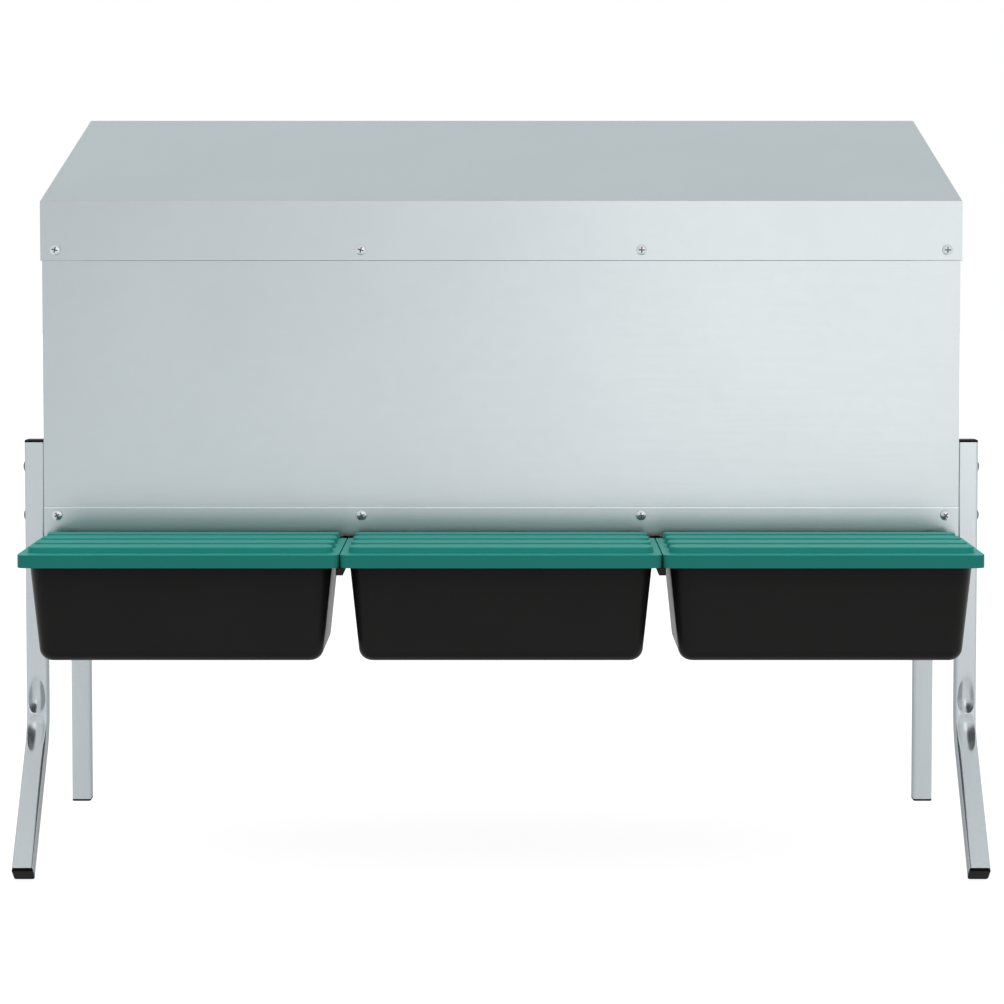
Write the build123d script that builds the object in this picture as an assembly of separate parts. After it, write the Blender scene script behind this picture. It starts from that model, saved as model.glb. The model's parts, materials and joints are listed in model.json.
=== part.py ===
from build123d import *
import math
import os

# A three-compartment nesting box of galvanised sheet on four tube legs.
# Hens enter at +Y, eggs roll down the nest pans to the lidded trays at -Y.
# While it is drawn, Y = 0 is the outer face of the rear wall and Z = 0 is the ground.
# The finished pieces are moved so that the origin is under the middle of the whole box.

# Housing
WIDTH = 900.0             # over the end walls
DEPTH = 330.0             # rear wall's outer face to the front strips' outer face
SHEET = 1.0               # sheet thickness
BEND = 1.0                # inside radius of a fold
FOLD_ROUND = 0.9          # outside radius of a tightly closed fold
EDGE_ROUND = 0.8          # zinc runs round a cut edge that shows
FLANGE = 26.0             # folded edge that takes the screws
NESTS = 3
WALL_LOW_Z = 262.0        # lower edge of the end walls
PARTITION_LOW_Z = 296.0

# Roof
ROOF_REAR_Z = 655.0       # top of the roof at its rear edge
ROOF_SLOPE = 15.0         # degrees
REAR_SKIRT = 60.0
FRONT_SKIRT = 30.0
ROOF_FIT = 0.5            # between the skirts and the end walls and front strips
ROOF_GAP = 0.6            # between the roof sheet and the tops of the end walls and header
PARTITION_GAP = 4.0       # air gap over the partitions

# Strips across the front and rear
RAIL_LOW_Z = 324.0
RAIL_HIGH_Z = 353.6
SILL_LOW_Z = 296.0
SILL_HIGH_Z = 372.0
HEADER_LOW_Z = 610.0
HEM = 10.0                # height of a hem folded over a bare edge

# Screws through the sheet
SCREW_INSET = 13.0        # from the end wall or partition to the screw
ROOF_SCREW_DROP = 49.0    # below the roof's rear edge
ROOF_FRONT_SCREW_DROP = 15.0
RAIL_SCREW_Z = 345.0
HEADER_SCREW_RISE = 24.0  # above the header's lower edge
SILL_SCREW_DROP = 22.0    # below the sill's upper edge
SCREW_R = 2.4
SCREW_HEAD_R = 5.0
SCREW_HEAD = 2.7
HEAD_EDGE = 0.4           # share of a screw head's height that is its straight edge
SCREW_TAIL = 5.0          # length that stands out behind the sheets
HOLE_FIT = 0.1            # radial, around screws and bolts

# Legs of square tube
TUBE = 20.0
TUBE_WALL = 1.2
TUBE_CORNER = 2.5
LEG_TOP_Z = 416.5
REAR_LEG_Y = 15.0         # centre of the upright part
FRONT_LEG_INSET = 36.5    # centre, behind the front strips' outer face
LEG_BEND_Z = 129.6        # where the two centre lines meet
LEG_TILT = 37.3           # degrees from upright
LEG_BEND_R = 65.0         # on the centre line
DENTS = ((28.0, 11.0, 3.2, 8.0), (-5.5, 13.0, 3.6, 14.0))   # height over the bend, radius, depth, run
LEG_SCREW_Z = (344.0, 392.0)
NUT_R = 4.6               # half the width across flats
NUT = 4.0
BOLT_END = 1.0            # length that stands out past a nut
CAP_HEAD = 2.2
CAP_PLUG = 12.0
CAP_FIT = 0.1
CAP_ROUND = 0.9

# Egg trays
TRAY_LOW_Z = 222.5
TRAY_GAUGE_Z = 303.0      # height at which the next three sizes hold
TRAY_FRONT = 150.0        # in front of the rear wall
TRAY_REAR = 5.0
TRAY_CORNER = 22.0
TRAY_DRAFT = 6.0          # degrees
TRAY_WALL = 2.2
TRAY_FOOT_R = 12.0
TRAY_BACK_Z = 262.0       # top of the low rear wall
TRAY_NOTCH_INSET = 10.0   # from the sides to the notch over that wall
RIM = 4.0                 # reach of the rolled rim beyond the tray's wall
RIM_LIP = 2.0
RIM_FIT = 0.3             # between the lid and the rim, above it and beside it

# Lids
LID_GAP = 1.2             # between neighbouring lids
LID_FRONT = 162.0
LID_TOP_Z = 325.2         # upper face of the flat edge
LID_WALL = 2.2
LID_SKIRT_Z = 313.2
LID_CORNER = 9.0
LID_SIDE_REAR = 24.0      # rear end of the flat side edges, clear of the rails when the lid is up
LID_REAR = 8.0            # rear end between the tray's walls
TONGUE_INSET = 12.0       # that part is narrower than the tray by this on each side
SKIRT_REAR = 27.0         # rear end of the side skirts
RIBS = 4
RIB_PITCH = 36.0
RIB_FIRST = 26.0          # centre of the rear rib
REAR_RIB_TRIM = 5.5       # taken off the rear rib's rear flank, clear of the rails when the lid is up
RIB_EDGE = 5.4            # flat edge beside the ribs' ends
RIB_WIDTH = 28.0
RIB_CORNER = 11.2
RIB_RISE = 5.8
RIB_TAPER = 30.0          # degrees
RIB_ROUND = 2.2

# Lid hinges
HINGE_Y = -20.5
HINGE_Z = 316.5
PIN_R = 2.0
PIN_FIT = 0.06
BOSS_R = 6.0
BOSS_WIDTH = 9.0
BOSS_LOW_Z = 292.0
BOSS_INSET = 1.0          # the boss starts this far inside the tray's wall
BOSS_CLEAR = 1.0          # the tray's rear sides stop this far below the bosses
KNUCKLE_R = 5.0
KNUCKLE_WIDTH = 8.0
KNUCKLE_GAP = 0.5
PIN_END = 2.0             # the pin stands out past the knuckle

# Rails that the trays ride on
RAIL_WEB = 6.5
RAIL_TREAD = 14.8
RAIL_TREAD_THICK = 2.3
RAIL_FOOT_Z = 306.0
RAIL_FRONT = 158.0
TREAD_FRONT = 140.0
RAIL_FIT = 0.3            # between the rails and the trays' rims
RUNNER_FRONT = 118.0
RUNNER_WEB = 3.0
RUNNER_FOOT_Z = 307.6
TAIL_START = 4.0
TAIL_END = 110.0
TAIL_LOW_Z = 300.0
TAIL_HIGH_Z = 323.0
TAIL_SCREW_Y = (34.0, 88.0)
TAIL_SCREW_Z = 306.0
TAIL_SCREW_HEAD_R = 4.0
TAIL_SCREW_R = 1.9

# Nest pans and their ledges
PAN_RIM_Z = 342.0
PAN_RIM = 3.0             # rim thickness
PAN_SIDE_FIT = 1.5        # between the rim and the sheet walls
PAN_DRAFT = 20.0          # degrees
PAN_WALL = 2.5
PAN_REAR = 3.5
PAN_FRONT_GAP = 10.0      # from the front strips' outer face, clear of the sill's screws
PAN_NUT_GAP = 10.0        # the side rims end this far from the middles of the legs' nuts
PAN_LIP_Z = 268.0         # upper face of the floor at its rear edge
PAN_EAR_REAR = 12.0       # the upper side walls start here, clear of the wall's screws
PAN_EAR_Z = 308.0
PAN_FALL = 8.0            # degrees
PAN_ROUND = 12.0
SLOT_LENGTH = 24.0
SLOT_WIDTH = 6.0
SLOT_PITCH_X = 36.0
SLOT_PITCH_Y = 33.0
SLOT_MARGIN_X = 45.0      # from the tub's edges at its rim to the outermost slots
SLOT_MARGIN_Y = 40.0      # from the tub's front and the rear wall
LEDGE = 10.0
LEDGE_DROP = 13.0

# Perch
PERCH_R = 15.0
PERCH_REACH = 100.0       # in front of the front strips
PERCH_Z = 314.0
ARM = 3.0
ARM_WIDTH = 20.0
ARM_GAP = 0.3             # to the end wall and to the leg that it rests against
PIVOT_Z = 346.0
PIVOT_R = 3.0
PIVOT_FIT = 0.08
PIVOT_HEAD_R = 6.0
PIVOT_HEAD = 3.6
PIVOT_NUT_R = 5.6

# Places worked out from the sizes above
HALF = WIDTH / 2
NEST = WIDTH / NESTS
NEST_CENTRES = {"left": -NEST, "middle": 0.0, "right": NEST}
PARTITION_X = {"left": -NEST / 2, "right": NEST / 2}
SIDES = {"left": -1, "right": 1}
SLOPE_TAN = math.tan(math.radians(ROOF_SLOPE))
ROOF_DEEP = SHEET / math.cos(math.radians(ROOF_SLOPE))
ROOF_FRONT_Y = DEPTH + ROOF_FIT + SHEET
FOLD_REAR_Y = SHEET
FOLD_LOW_Z = RAIL_LOW_Z + SHEET
FOLD_FRONT_Y = DEPTH - SHEET
OUTER_SCREW_X = HALF - SCREW_INSET
INNER_SCREW_X = NEST / 2 + SHEET / 2 - SCREW_INSET
SCREW_XS = (-OUTER_SCREW_X, -INNER_SCREW_X, INNER_SCREW_X, OUTER_SCREW_X)
ROOF_SCREW_Z = ROOF_REAR_Z - ROOF_SCREW_DROP
ROOF_FRONT_SCREW_Z = ROOF_REAR_Z + ROOF_FRONT_Y * SLOPE_TAN - ROOF_FRONT_SCREW_DROP
HEADER_SCREW_Z = HEADER_LOW_Z + HEADER_SCREW_RISE
SILL_SCREW_Z = SILL_HIGH_Z - SILL_SCREW_DROP
LEG_X = HALF + TUBE / 2
TRAY_TAN = math.tan(math.radians(TRAY_DRAFT))
FRONT_LEG_Y = DEPTH - FRONT_LEG_INSET
LID_UNDER_Z = LID_TOP_Z - LID_WALL
LID_WIDTH = NEST - LID_GAP
TRAY_TOP_Z = LID_UNDER_Z - RIM_FIT
RIM_HALF = LID_WIDTH / 2 - LID_WALL - RIM_FIT
TRAY_WIDTH = (RIM_HALF - RIM - (TRAY_TOP_Z - TRAY_GAUGE_Z) * TRAY_TAN) * 2
BOSS_X = TRAY_WIDTH / 2 - TRAY_WALL - BOSS_INSET - BOSS_WIDTH
KNUCKLE_X = BOSS_X - KNUCKLE_GAP - KNUCKLE_WIDTH
TREAD_Z = LID_SKIRT_Z - RAIL_FIT
RIM_LOW_Z = TREAD_Z + RAIL_FIT
PAN_TAN = math.tan(math.radians(PAN_DRAFT))
FALL_TAN = math.tan(math.radians(PAN_FALL))
LEDGE_Z = PAN_RIM_Z - PAN_RIM
PAN_RIM_WIDTH = NEST - (SHEET + PAN_SIDE_FIT) * 2
PAN_MOUTH = NEST - (SHEET + LEDGE) * 2
PAN_FRONT = DEPTH - PAN_FRONT_GAP
PAN_RIM_REAR = REAR_LEG_Y + PAN_NUT_GAP
PAN_RIM_FRONT = FRONT_LEG_Y - PAN_NUT_GAP
SLOT_COLUMNS = int((PAN_MOUTH - SLOT_MARGIN_X * 2) / SLOT_PITCH_X)
SLOT_ROWS = int((PAN_FRONT - SLOT_MARGIN_Y * 2) / SLOT_PITCH_Y) + 1
PERCH_Y = DEPTH + PERCH_REACH
ARM_REAR = FRONT_LEG_Y + TUBE / 2 + ARM_GAP
PIVOT_Y = ARM_REAR + ARM_WIDTH / 2
ARM_X = HALF + ARM_GAP
MIDDLE_Y = (PERCH_Y + PERCH_R - LID_FRONT) / 2


def block(x_low, x_high, y_low, y_high, z_low, z_high):
    size = (x_high - x_low, y_high - y_low, z_high - z_low)
    middle = ((x_low + x_high) / 2, (y_low + y_high) / 2, (z_low + z_high) / 2)
    return Pos(*middle) * Box(*size)


def prism_along_x(points, x_low, x_high):
    """A flat outline of (Y, Z) points, drawn out along X."""
    face = make_face(Plane.YZ * Polyline(*points, close=True))
    return Pos(x_low, 0, 0) * extrude(face, amount=x_high - x_low, dir=(1, 0, 0))


def prism_along_y(points, y_low, y_high):
    """A flat outline of (X, Z) points, drawn out along Y."""
    face = make_face(Plane.XZ * Polyline(*points, close=True))
    return Pos(0, y_low, 0) * extrude(face, amount=y_high - y_low, dir=(0, 1, 0))


def rod_x(radius, x_low, x_high, y, z):
    return Pos((x_low + x_high) / 2, y, z) * Rot(0, 90, 0) * Cylinder(radius, x_high - x_low)


def rod_y(radius, y_low, y_high, x, z):
    return Pos(x, (y_low + y_high) / 2, z) * Rot(90, 0, 0) * Cylinder(radius, y_high - y_low)


def mirror_x(part):
    return mirror(part, about=Plane.YZ)


def on_side(part, side):
    """A piece drawn for the right side, put on the side that is asked for."""
    return part if SIDES[side] > 0 else mirror_x(part)


def facing(part, point, direction):
    """Puts a fastener's seat at a point, with its head towards the given direction."""
    return Plane(origin=point, z_dir=direction) * part


def pan_head_screw(radius, head_radius, head, length):
    """Screw along Z, with its seat at Z = 0: a shank, and a low head with a domed top."""
    edge = head * HEAD_EDGE
    dome = head - edge
    ball = (head_radius**2 + dome**2) / (2 * dome)
    bottom_up = (Align.CENTER, Align.CENTER, Align.MIN)
    blank = Cylinder(head_radius, head, align=bottom_up) & Pos(0, 0, head - ball) * Sphere(ball)
    return blank + Pos(0, 0, -length) * Cylinder(radius, length, align=bottom_up)


def hex_nut(flat, height, bore):
    return extrude(RegularPolygon(flat, 6, major_radius=False) - Circle(bore), amount=height)


def long_edge(part, y, z):
    """The edge along X that lies at a place in the side view."""
    return part.edges().filter_by(Axis.X).sort_by_distance((0, y, z))[0]


def above_roof(gap):
    """Everything above the underside of the roof sheet, less a gap."""
    def height(y):
        return ROOF_REAR_Z + y * SLOPE_TAN - ROOF_DEEP - gap
    reach = DEPTH * 2
    points = ((-reach, height(-reach)), (reach, height(reach)), (reach, reach * 3), (-reach, reach * 3))
    return prism_along_x(points, -WIDTH, WIDTH)


def folded_wall(web_x, turn, z_low, roof_gap):
    """Sheet with a fold at its rear and front edges; turn is the side of the folds."""
    x_fold = web_x + turn * FLANGE
    x_inner = web_x + turn * SHEET
    points = (
        (x_fold, FOLD_REAR_Y), (web_x, FOLD_REAR_Y), (web_x, FOLD_FRONT_Y), (x_fold, FOLD_FRONT_Y),
        (x_fold, FOLD_FRONT_Y - SHEET), (x_inner, FOLD_FRONT_Y - SHEET),
        (x_inner, FOLD_REAR_Y + SHEET), (x_fold, FOLD_REAR_Y + SHEET),
    )
    face = make_face(Polyline(*points, close=True))
    wall = Pos(0, 0, z_low) * extrude(face, amount=ROOF_REAR_Z, dir=(0, 0, 1))
    uprights = wall.edges().filter_by(Axis.Z)
    outer = uprights.filter_by(lambda e: abs(e.center().X - web_x) < SHEET / 10)
    wall = fillet(outer, BEND + SHEET)
    uprights = wall.edges().filter_by(Axis.Z)
    inner = uprights.filter_by(lambda e: abs(e.center().X - x_inner) < SHEET / 10)
    wall = fillet(inner, BEND)
    corner = (x_inner, x_fold + turn * SHEET)
    slot = block(min(corner), max(corner), 0, FOLD_REAR_Y + SHEET * 2, 0, FOLD_LOW_Z)
    wall = wall - slot - above_roof(roof_gap)
    x = web_x + turn * SCREW_INSET
    for z in (RAIL_SCREW_Z, ROOF_SCREW_Z):
        wall = wall - rod_y(SCREW_R + HOLE_FIT, 0, FOLD_REAR_Y + SHEET * 2, x, z)
    for z in (SILL_SCREW_Z, HEADER_SCREW_Z, ROOF_FRONT_SCREW_Z):
        wall = wall - rod_y(SCREW_R + HOLE_FIT, FOLD_FRONT_Y - SHEET * 2, DEPTH, x, z)
    return wall


def end_wall(side):
    wall = folded_wall(HALF, -1, WALL_LOW_Z, ROOF_GAP)
    for z in LEG_SCREW_Z:
        for y in (REAR_LEG_Y, FRONT_LEG_Y):
            wall = wall - rod_x(SCREW_R + HOLE_FIT, HALF - SHEET * 2, HALF + SHEET, y, z)
    wall = wall - rod_x(PIVOT_R + HOLE_FIT, HALF - SHEET * 2, HALF + SHEET, PIVOT_Y, PIVOT_Z)
    for y in TAIL_SCREW_Y:
        wall = wall - rod_x(TAIL_SCREW_R + HOLE_FIT, HALF - SHEET * 2, HALF + SHEET, y, TAIL_SCREW_Z)
    return on_side(wall, side)


def partition(side):
    middle = PARTITION_X["right"]
    wall = folded_wall(middle + SHEET / 2, -1, PARTITION_LOW_Z, PARTITION_GAP)
    for y in TAIL_SCREW_Y:
        wall = wall - rod_x(TAIL_SCREW_R + HOLE_FIT, middle - SHEET, middle + SHEET, y, TAIL_SCREW_Z)
    return on_side(wall, side)


def rear_wall():
    wall = block(-HALF, HALF, 0, SHEET, RAIL_LOW_Z + SHEET * 2, ROOF_REAR_Z - SHEET * 2)
    for x in SCREW_XS:
        for z in (RAIL_SCREW_Z, ROOF_SCREW_Z):
            wall = wall - rod_y(SCREW_R + HOLE_FIT, -SHEET, SHEET * 2, x, z)
    return wall


def rear_rail():
    """Strip over the wall's lower edge, with its bottom edge folded in under the wall."""
    lip = SHEET * 3
    points = (
        (-SHEET, RAIL_HIGH_Z), (0, RAIL_HIGH_Z), (0, RAIL_LOW_Z + SHEET), (lip, RAIL_LOW_Z + SHEET),
        (lip, RAIL_LOW_Z), (-SHEET, RAIL_LOW_Z),
    )
    rail = prism_along_x(points, -HALF, HALF)
    for z, radius in ((RAIL_LOW_Z, FOLD_ROUND), (RAIL_HIGH_Z, EDGE_ROUND)):
        rail = fillet(long_edge(rail, -SHEET, z), radius)
    for x in PARTITION_X.values():
        rail = rail - block(x - SHEET, x + SHEET, FOLD_REAR_Y / 2, lip + SHEET, 0, RAIL_LOW_Z + SHEET * 2)
    for x in SIDES.values():
        edge = (x * (HALF + SHEET), x * (HALF - SHEET * 2))
        rail = rail - block(min(edge), max(edge), FOLD_REAR_Y / 2, lip + SHEET, 0, RAIL_LOW_Z + SHEET * 2)
    for x in SCREW_XS:
        rail = rail - rod_y(SCREW_R + HOLE_FIT, -SHEET * 2, SHEET, x, RAIL_SCREW_Z)
    return rail


def front_strip(z_low, z_high, hem_at_top, screw_zs):
    """Sheet strip across the front, with a hem on the edge that the hens pass."""
    hem_low = z_high - HEM if hem_at_top else z_low
    strip = block(-HALF, HALF, FOLD_FRONT_Y, DEPTH, z_low, z_high)
    hem = block(-HALF, HALF, FOLD_FRONT_Y, DEPTH + SHEET, hem_low, hem_low + HEM)
    edge_z = z_high if hem_at_top else z_low
    rounds = hem.edges().filter_by(Axis.X).filter_by(lambda e: abs(e.center().Z - edge_z) < SHEET / 10)
    strip = strip - block(-HALF, HALF, 0, DEPTH * 2, hem_low, hem_low + HEM) + fillet(rounds, FOLD_ROUND)
    for x in SCREW_XS:
        for z in screw_zs:
            strip = strip - rod_y(SCREW_R + HOLE_FIT, FOLD_FRONT_Y - SHEET, DEPTH + SHEET * 2, x, z)
    return strip


def front_header():
    strip = front_strip(HEADER_LOW_Z, ROOF_REAR_Z * 2, False, (HEADER_SCREW_Z, ROOF_FRONT_SCREW_Z))
    return strip - above_roof(ROOF_GAP)


def front_sill():
    return front_strip(SILL_LOW_Z, SILL_HIGH_Z, True, (SILL_SCREW_Z,))


def roof_outline(inset, drop):
    """Side view of the roof cap, or of its hollow when it is inset by the sheet."""
    rear = -SHEET + inset
    front = ROOF_FRONT_Y - inset
    lower = inset / math.cos(math.radians(ROOF_SLOPE))
    front_z = ROOF_REAR_Z + ROOF_FRONT_Y * SLOPE_TAN
    return (
        (rear, ROOF_REAR_Z - REAR_SKIRT - drop),
        (rear, ROOF_REAR_Z + rear * SLOPE_TAN - lower),
        (front, ROOF_REAR_Z + front * SLOPE_TAN - lower),
        (front, front_z - FRONT_SKIRT - drop),
    )


def roof():
    half = HALF + ROOF_FIT + SHEET
    cap = prism_along_x(roof_outline(0, 0), -half, half)
    top = cap.faces().filter_by(lambda f: f.normal_at().Z > 0.5)
    cap = fillet(top.edges(), BEND + SHEET)
    front_z = ROOF_REAR_Z + ROOF_FRONT_Y * SLOPE_TAN
    for y, z in ((-SHEET, ROOF_REAR_Z - REAR_SKIRT), (ROOF_FRONT_Y, front_z - FRONT_SKIRT)):
        cap = fillet(long_edge(cap, y, z), EDGE_ROUND)
    hollow = prism_along_x(roof_outline(SHEET, REAR_SKIRT), -half + SHEET, half - SHEET)
    top = hollow.faces().filter_by(lambda f: f.normal_at().Z > 0.5)
    hollow = fillet(top.edges(), BEND)
    cap = cap - hollow
    for x in SCREW_XS:
        cap = cap - rod_y(SCREW_R + HOLE_FIT, -SHEET * 2, SHEET, x, ROOF_SCREW_Z)
        cap = cap - rod_y(SCREW_R + HOLE_FIT, DEPTH - SHEET, DEPTH + SHEET * 3, x, ROOF_FRONT_SCREW_Z)
    return cap


def tube_section(inset):
    size = TUBE - inset * 2
    return RectangleRounded(size, size, TUBE_CORNER - inset)


def tube_along(path, inset):
    start = Plane(origin=path @ 0, x_dir=(1, 0, 0), z_dir=path % 0)
    return sweep(start * tube_section(inset), path=path)


def foot_centre():
    """Centre of the bent leg's end face; its rounded rear edge stands on the ground."""
    tilt = math.radians(LEG_TILT)
    z = TUBE / 2 * math.sin(tilt) - CAP_ROUND * (math.sin(tilt) + math.cos(tilt) - 1)
    y = REAR_LEG_Y - (LEG_BEND_Z - z) * math.tan(tilt)
    return y, z


def foot_axis():
    tilt = math.radians(LEG_TILT)
    return (0, -math.sin(tilt), -math.cos(tilt))


def rear_leg(side):
    """Bent tube; the bend has crushed two dents into the face inside the bend."""
    y, z = foot_centre()
    axis = foot_axis()
    end = (LEG_X, y - axis[1] * CAP_HEAD, z - axis[2] * CAP_HEAD)
    top = (LEG_X, REAR_LEG_Y, LEG_TOP_Z)
    bend = (LEG_X, REAR_LEG_Y, LEG_BEND_Z)
    path = FilletPolyline(top, bend, end, radius=LEG_BEND_R)
    outside = tube_along(path, 0)
    leg = outside - tube_along(path, TUBE_WALL)
    for rise, ball, depth, run in DENTS:
        spot = bend_face(rise) * Pos(0, depth - ball, 0)
        leg = leg + (spot * capsule(ball + TUBE_WALL, run) & outside)
        leg = leg - spot * capsule(ball, run)
    for hole_z in LEG_SCREW_Z:
        leg = leg - rod_x(SCREW_R + HOLE_FIT, HALF - SHEET, HALF + TUBE + SHEET, REAR_LEG_Y, hole_z)
    return on_side(leg, side)


def bend_face(rise):
    """Place on the face inside the bend at a height over the bend: Y into the tube, Z up along it."""
    tangent = LEG_BEND_R * math.tan(math.radians(LEG_TILT) / 2)
    radius = LEG_BEND_R - TUBE / 2
    turn = math.asin(max(0.0, tangent - rise) / radius)
    y = REAR_LEG_Y - TUBE / 2 - radius * (1 - math.cos(turn))
    return Pos(LEG_X, y, LEG_BEND_Z + rise) * Rot(-math.degrees(turn), 0, 0)


def capsule(radius, run):
    """Rod along Z with ball ends, whose straight part is the run."""
    rod = Cylinder(radius, run)
    for end in (-run / 2, run / 2):
        rod = rod + Pos(0, 0, end) * Sphere(radius)
    return rod


def front_leg(side):
    path = Line((LEG_X, FRONT_LEG_Y, LEG_TOP_Z), (LEG_X, FRONT_LEG_Y, CAP_HEAD))
    leg = tube_along(path, 0) - tube_along(path, TUBE_WALL)
    for hole_z in LEG_SCREW_Z:
        leg = leg - rod_x(SCREW_R + HOLE_FIT, HALF - SHEET, HALF + TUBE + SHEET, FRONT_LEG_Y, hole_z)
    return on_side(leg, side)


def tube_cap():
    """Cap with its head on +Z and its plug in the tube on -Z."""
    head = extrude(tube_section(0), amount=CAP_HEAD)
    head = fillet(head.faces().sort_by(Axis.Z)[-1].edges(), CAP_ROUND)
    plug = Pos(0, 0, -CAP_PLUG) * extrude(tube_section(TUBE_WALL + CAP_FIT), amount=CAP_PLUG)
    inner = TUBE - TUBE_WALL * 4
    hollow = Pos(0, 0, -CAP_PLUG) * extrude(Rectangle(inner, inner), amount=CAP_PLUG - TUBE_WALL)
    return head + plug - hollow


def both_sides(parts):
    return [copy for part in parts for copy in (mirror_x(part), part)]


def leg_top_caps():
    spots = ((LEG_X, y, LEG_TOP_Z) for y in (REAR_LEG_Y, FRONT_LEG_Y))
    return both_sides([Pos(*spot) * tube_cap() for spot in spots])


def leg_foot_caps():
    y, z = foot_centre()
    axis = foot_axis()
    seat = (LEG_X, y - axis[1] * CAP_HEAD, z - axis[2] * CAP_HEAD)
    rear = Plane(origin=seat, x_dir=(1, 0, 0), z_dir=axis) * tube_cap()
    front = Plane(origin=(LEG_X, FRONT_LEG_Y, CAP_HEAD), x_dir=(1, 0, 0), z_dir=(0, 0, -1)) * tube_cap()
    return both_sides([rear, front])


def sheet_screw(sheets):
    return pan_head_screw(SCREW_R, SCREW_HEAD_R, SCREW_HEAD, sheets * SHEET + SCREW_TAIL)


def screw_row(y, z, out, sheets):
    return [facing(sheet_screw(sheets), (x, y, z), (0, out, 0)) for x in SCREW_XS]


def roof_screws():
    rear = screw_row(-SHEET, ROOF_SCREW_Z, -1, 3)
    front = screw_row(ROOF_FRONT_Y, ROOF_FRONT_SCREW_Z, 1, 3)
    return rear + front


def rail_screws():
    return screw_row(-SHEET, RAIL_SCREW_Z, -1, 3)


def header_screws():
    return screw_row(DEPTH, HEADER_SCREW_Z, 1, 2)


def sill_screws():
    return screw_row(DEPTH, SILL_SCREW_Z, 1, 2)


def leg_screw_spots():
    return [(y, z) for y in (REAR_LEG_Y, FRONT_LEG_Y) for z in LEG_SCREW_Z]


def leg_screws():
    screw = pan_head_screw(SCREW_R, SCREW_HEAD_R, SCREW_HEAD, TUBE + SHEET + NUT + BOLT_END)
    return both_sides([facing(screw, (HALF + TUBE, y, z), (1, 0, 0)) for y, z in leg_screw_spots()])


def leg_nuts():
    nut = hex_nut(NUT_R, NUT, SCREW_R + HOLE_FIT)
    return both_sides([facing(nut, (HALF - SHEET, y, z), (-1, 0, 0)) for y, z in leg_screw_spots()])


def tray_plan(z, inset):
    """The tray's rounded outline at a height, drawn in by an inset."""
    spread = (z - TRAY_GAUGE_Z) * TRAY_TAN - inset
    width = TRAY_WIDTH + spread * 2
    front = -TRAY_FRONT - spread
    rear = -TRAY_REAR + spread
    outline = RectangleRounded(width, rear - front, TRAY_CORNER + spread)
    return Pos(0, (front + rear) / 2, z) * outline


def tray_tub(z_low, z_high, inset):
    """Tub that widens upwards by the mould's draft, with a rounded foot."""
    tub = extrude(tray_plan(z_low, inset), amount=z_high - z_low, taper=-TRAY_DRAFT)
    return fillet(tub.faces().sort_by(Axis.Z)[0].edges(), TRAY_FOOT_R - inset)


def rim_plan(inset):
    half = RIM_HALF - inset
    front = -TRAY_FRONT - (half - TRAY_WIDTH / 2)
    outline = RectangleRounded(half * 2, -TRAY_REAR - front, LID_CORNER - inset)
    return Pos(0, (front - TRAY_REAR) / 2, 0) * outline


def rolled_rim():
    """A rim turned out and down; its lower edge rides on the rails."""
    rim = Pos(0, 0, RIM_LOW_Z) * extrude(rim_plan(0), amount=TRAY_TOP_Z - RIM_LOW_Z)
    under = Pos(0, 0, RIM_LOW_Z) * extrude(rim_plan(RIM_LIP), amount=TRAY_TOP_Z - RIM_LOW_Z - RIM_LIP)
    return rim - under


def hinge_boss():
    """Boss inside the right side wall that holds a hinge pin."""
    wall_x = TRAY_WIDTH / 2 - TRAY_WALL / 2
    eye = rod_x(BOSS_R, BOSS_X, wall_x, HINGE_Y, HINGE_Z)
    stem = block(BOSS_X, wall_x, HINGE_Y - BOSS_R, HINGE_Y + BOSS_R, BOSS_LOW_Z + BOSS_WIDTH, HINGE_Z)
    points = ((BOSS_X, BOSS_LOW_Z + BOSS_WIDTH), (wall_x, BOSS_LOW_Z + BOSS_WIDTH), (wall_x, BOSS_LOW_Z))
    gusset = prism_along_y(points, HINGE_Y - BOSS_R, HINGE_Y + BOSS_R)
    bore = rod_x(PIN_R + PIN_FIT, KNUCKLE_X, BOSS_X + BOSS_WIDTH, HINGE_Y, HINGE_Z)
    return eye + stem + gusset - bore


def egg_tray():
    inside = tray_tub(TRAY_LOW_Z + TRAY_WALL, TRAY_TOP_Z + TRAY_WALL, TRAY_WALL)
    tray = tray_tub(TRAY_LOW_Z, TRAY_TOP_Z, 0) + rolled_rim() - inside
    rear_low_z = HINGE_Z - BOSS_R - BOSS_CLEAR
    tray = tray - block(-NEST, NEST, -SKIRT_REAR, 0, rear_low_z, TRAY_TOP_Z + TRAY_WALL)
    notch = TRAY_WIDTH / 2 - TRAY_NOTCH_INSET
    tray = tray - block(-notch, notch, HINGE_Y + BOSS_R, 0, TRAY_BACK_Z, TRAY_TOP_Z)
    return tray + hinge_boss() + mirror_x(hinge_boss())


def hinge_pins():
    pin = rod_x(PIN_R, KNUCKLE_X - PIN_END, BOSS_X + BOSS_WIDTH, HINGE_Y, HINGE_Z)
    return [mirror_x(pin), pin]


def lid_plan(inset):
    front = -LID_FRONT + inset
    width = LID_WIDTH - inset * 2
    length = LID_FRONT - LID_SIDE_REAR
    outline = Pos(0, -LID_SIDE_REAR - length / 2 + inset / 2) * Rectangle(width, length - inset)
    corners = outline.vertices().filter_by(lambda v: abs(v.Y - front) < LID_WALL / 10)
    return fillet(corners, LID_CORNER - inset)


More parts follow.
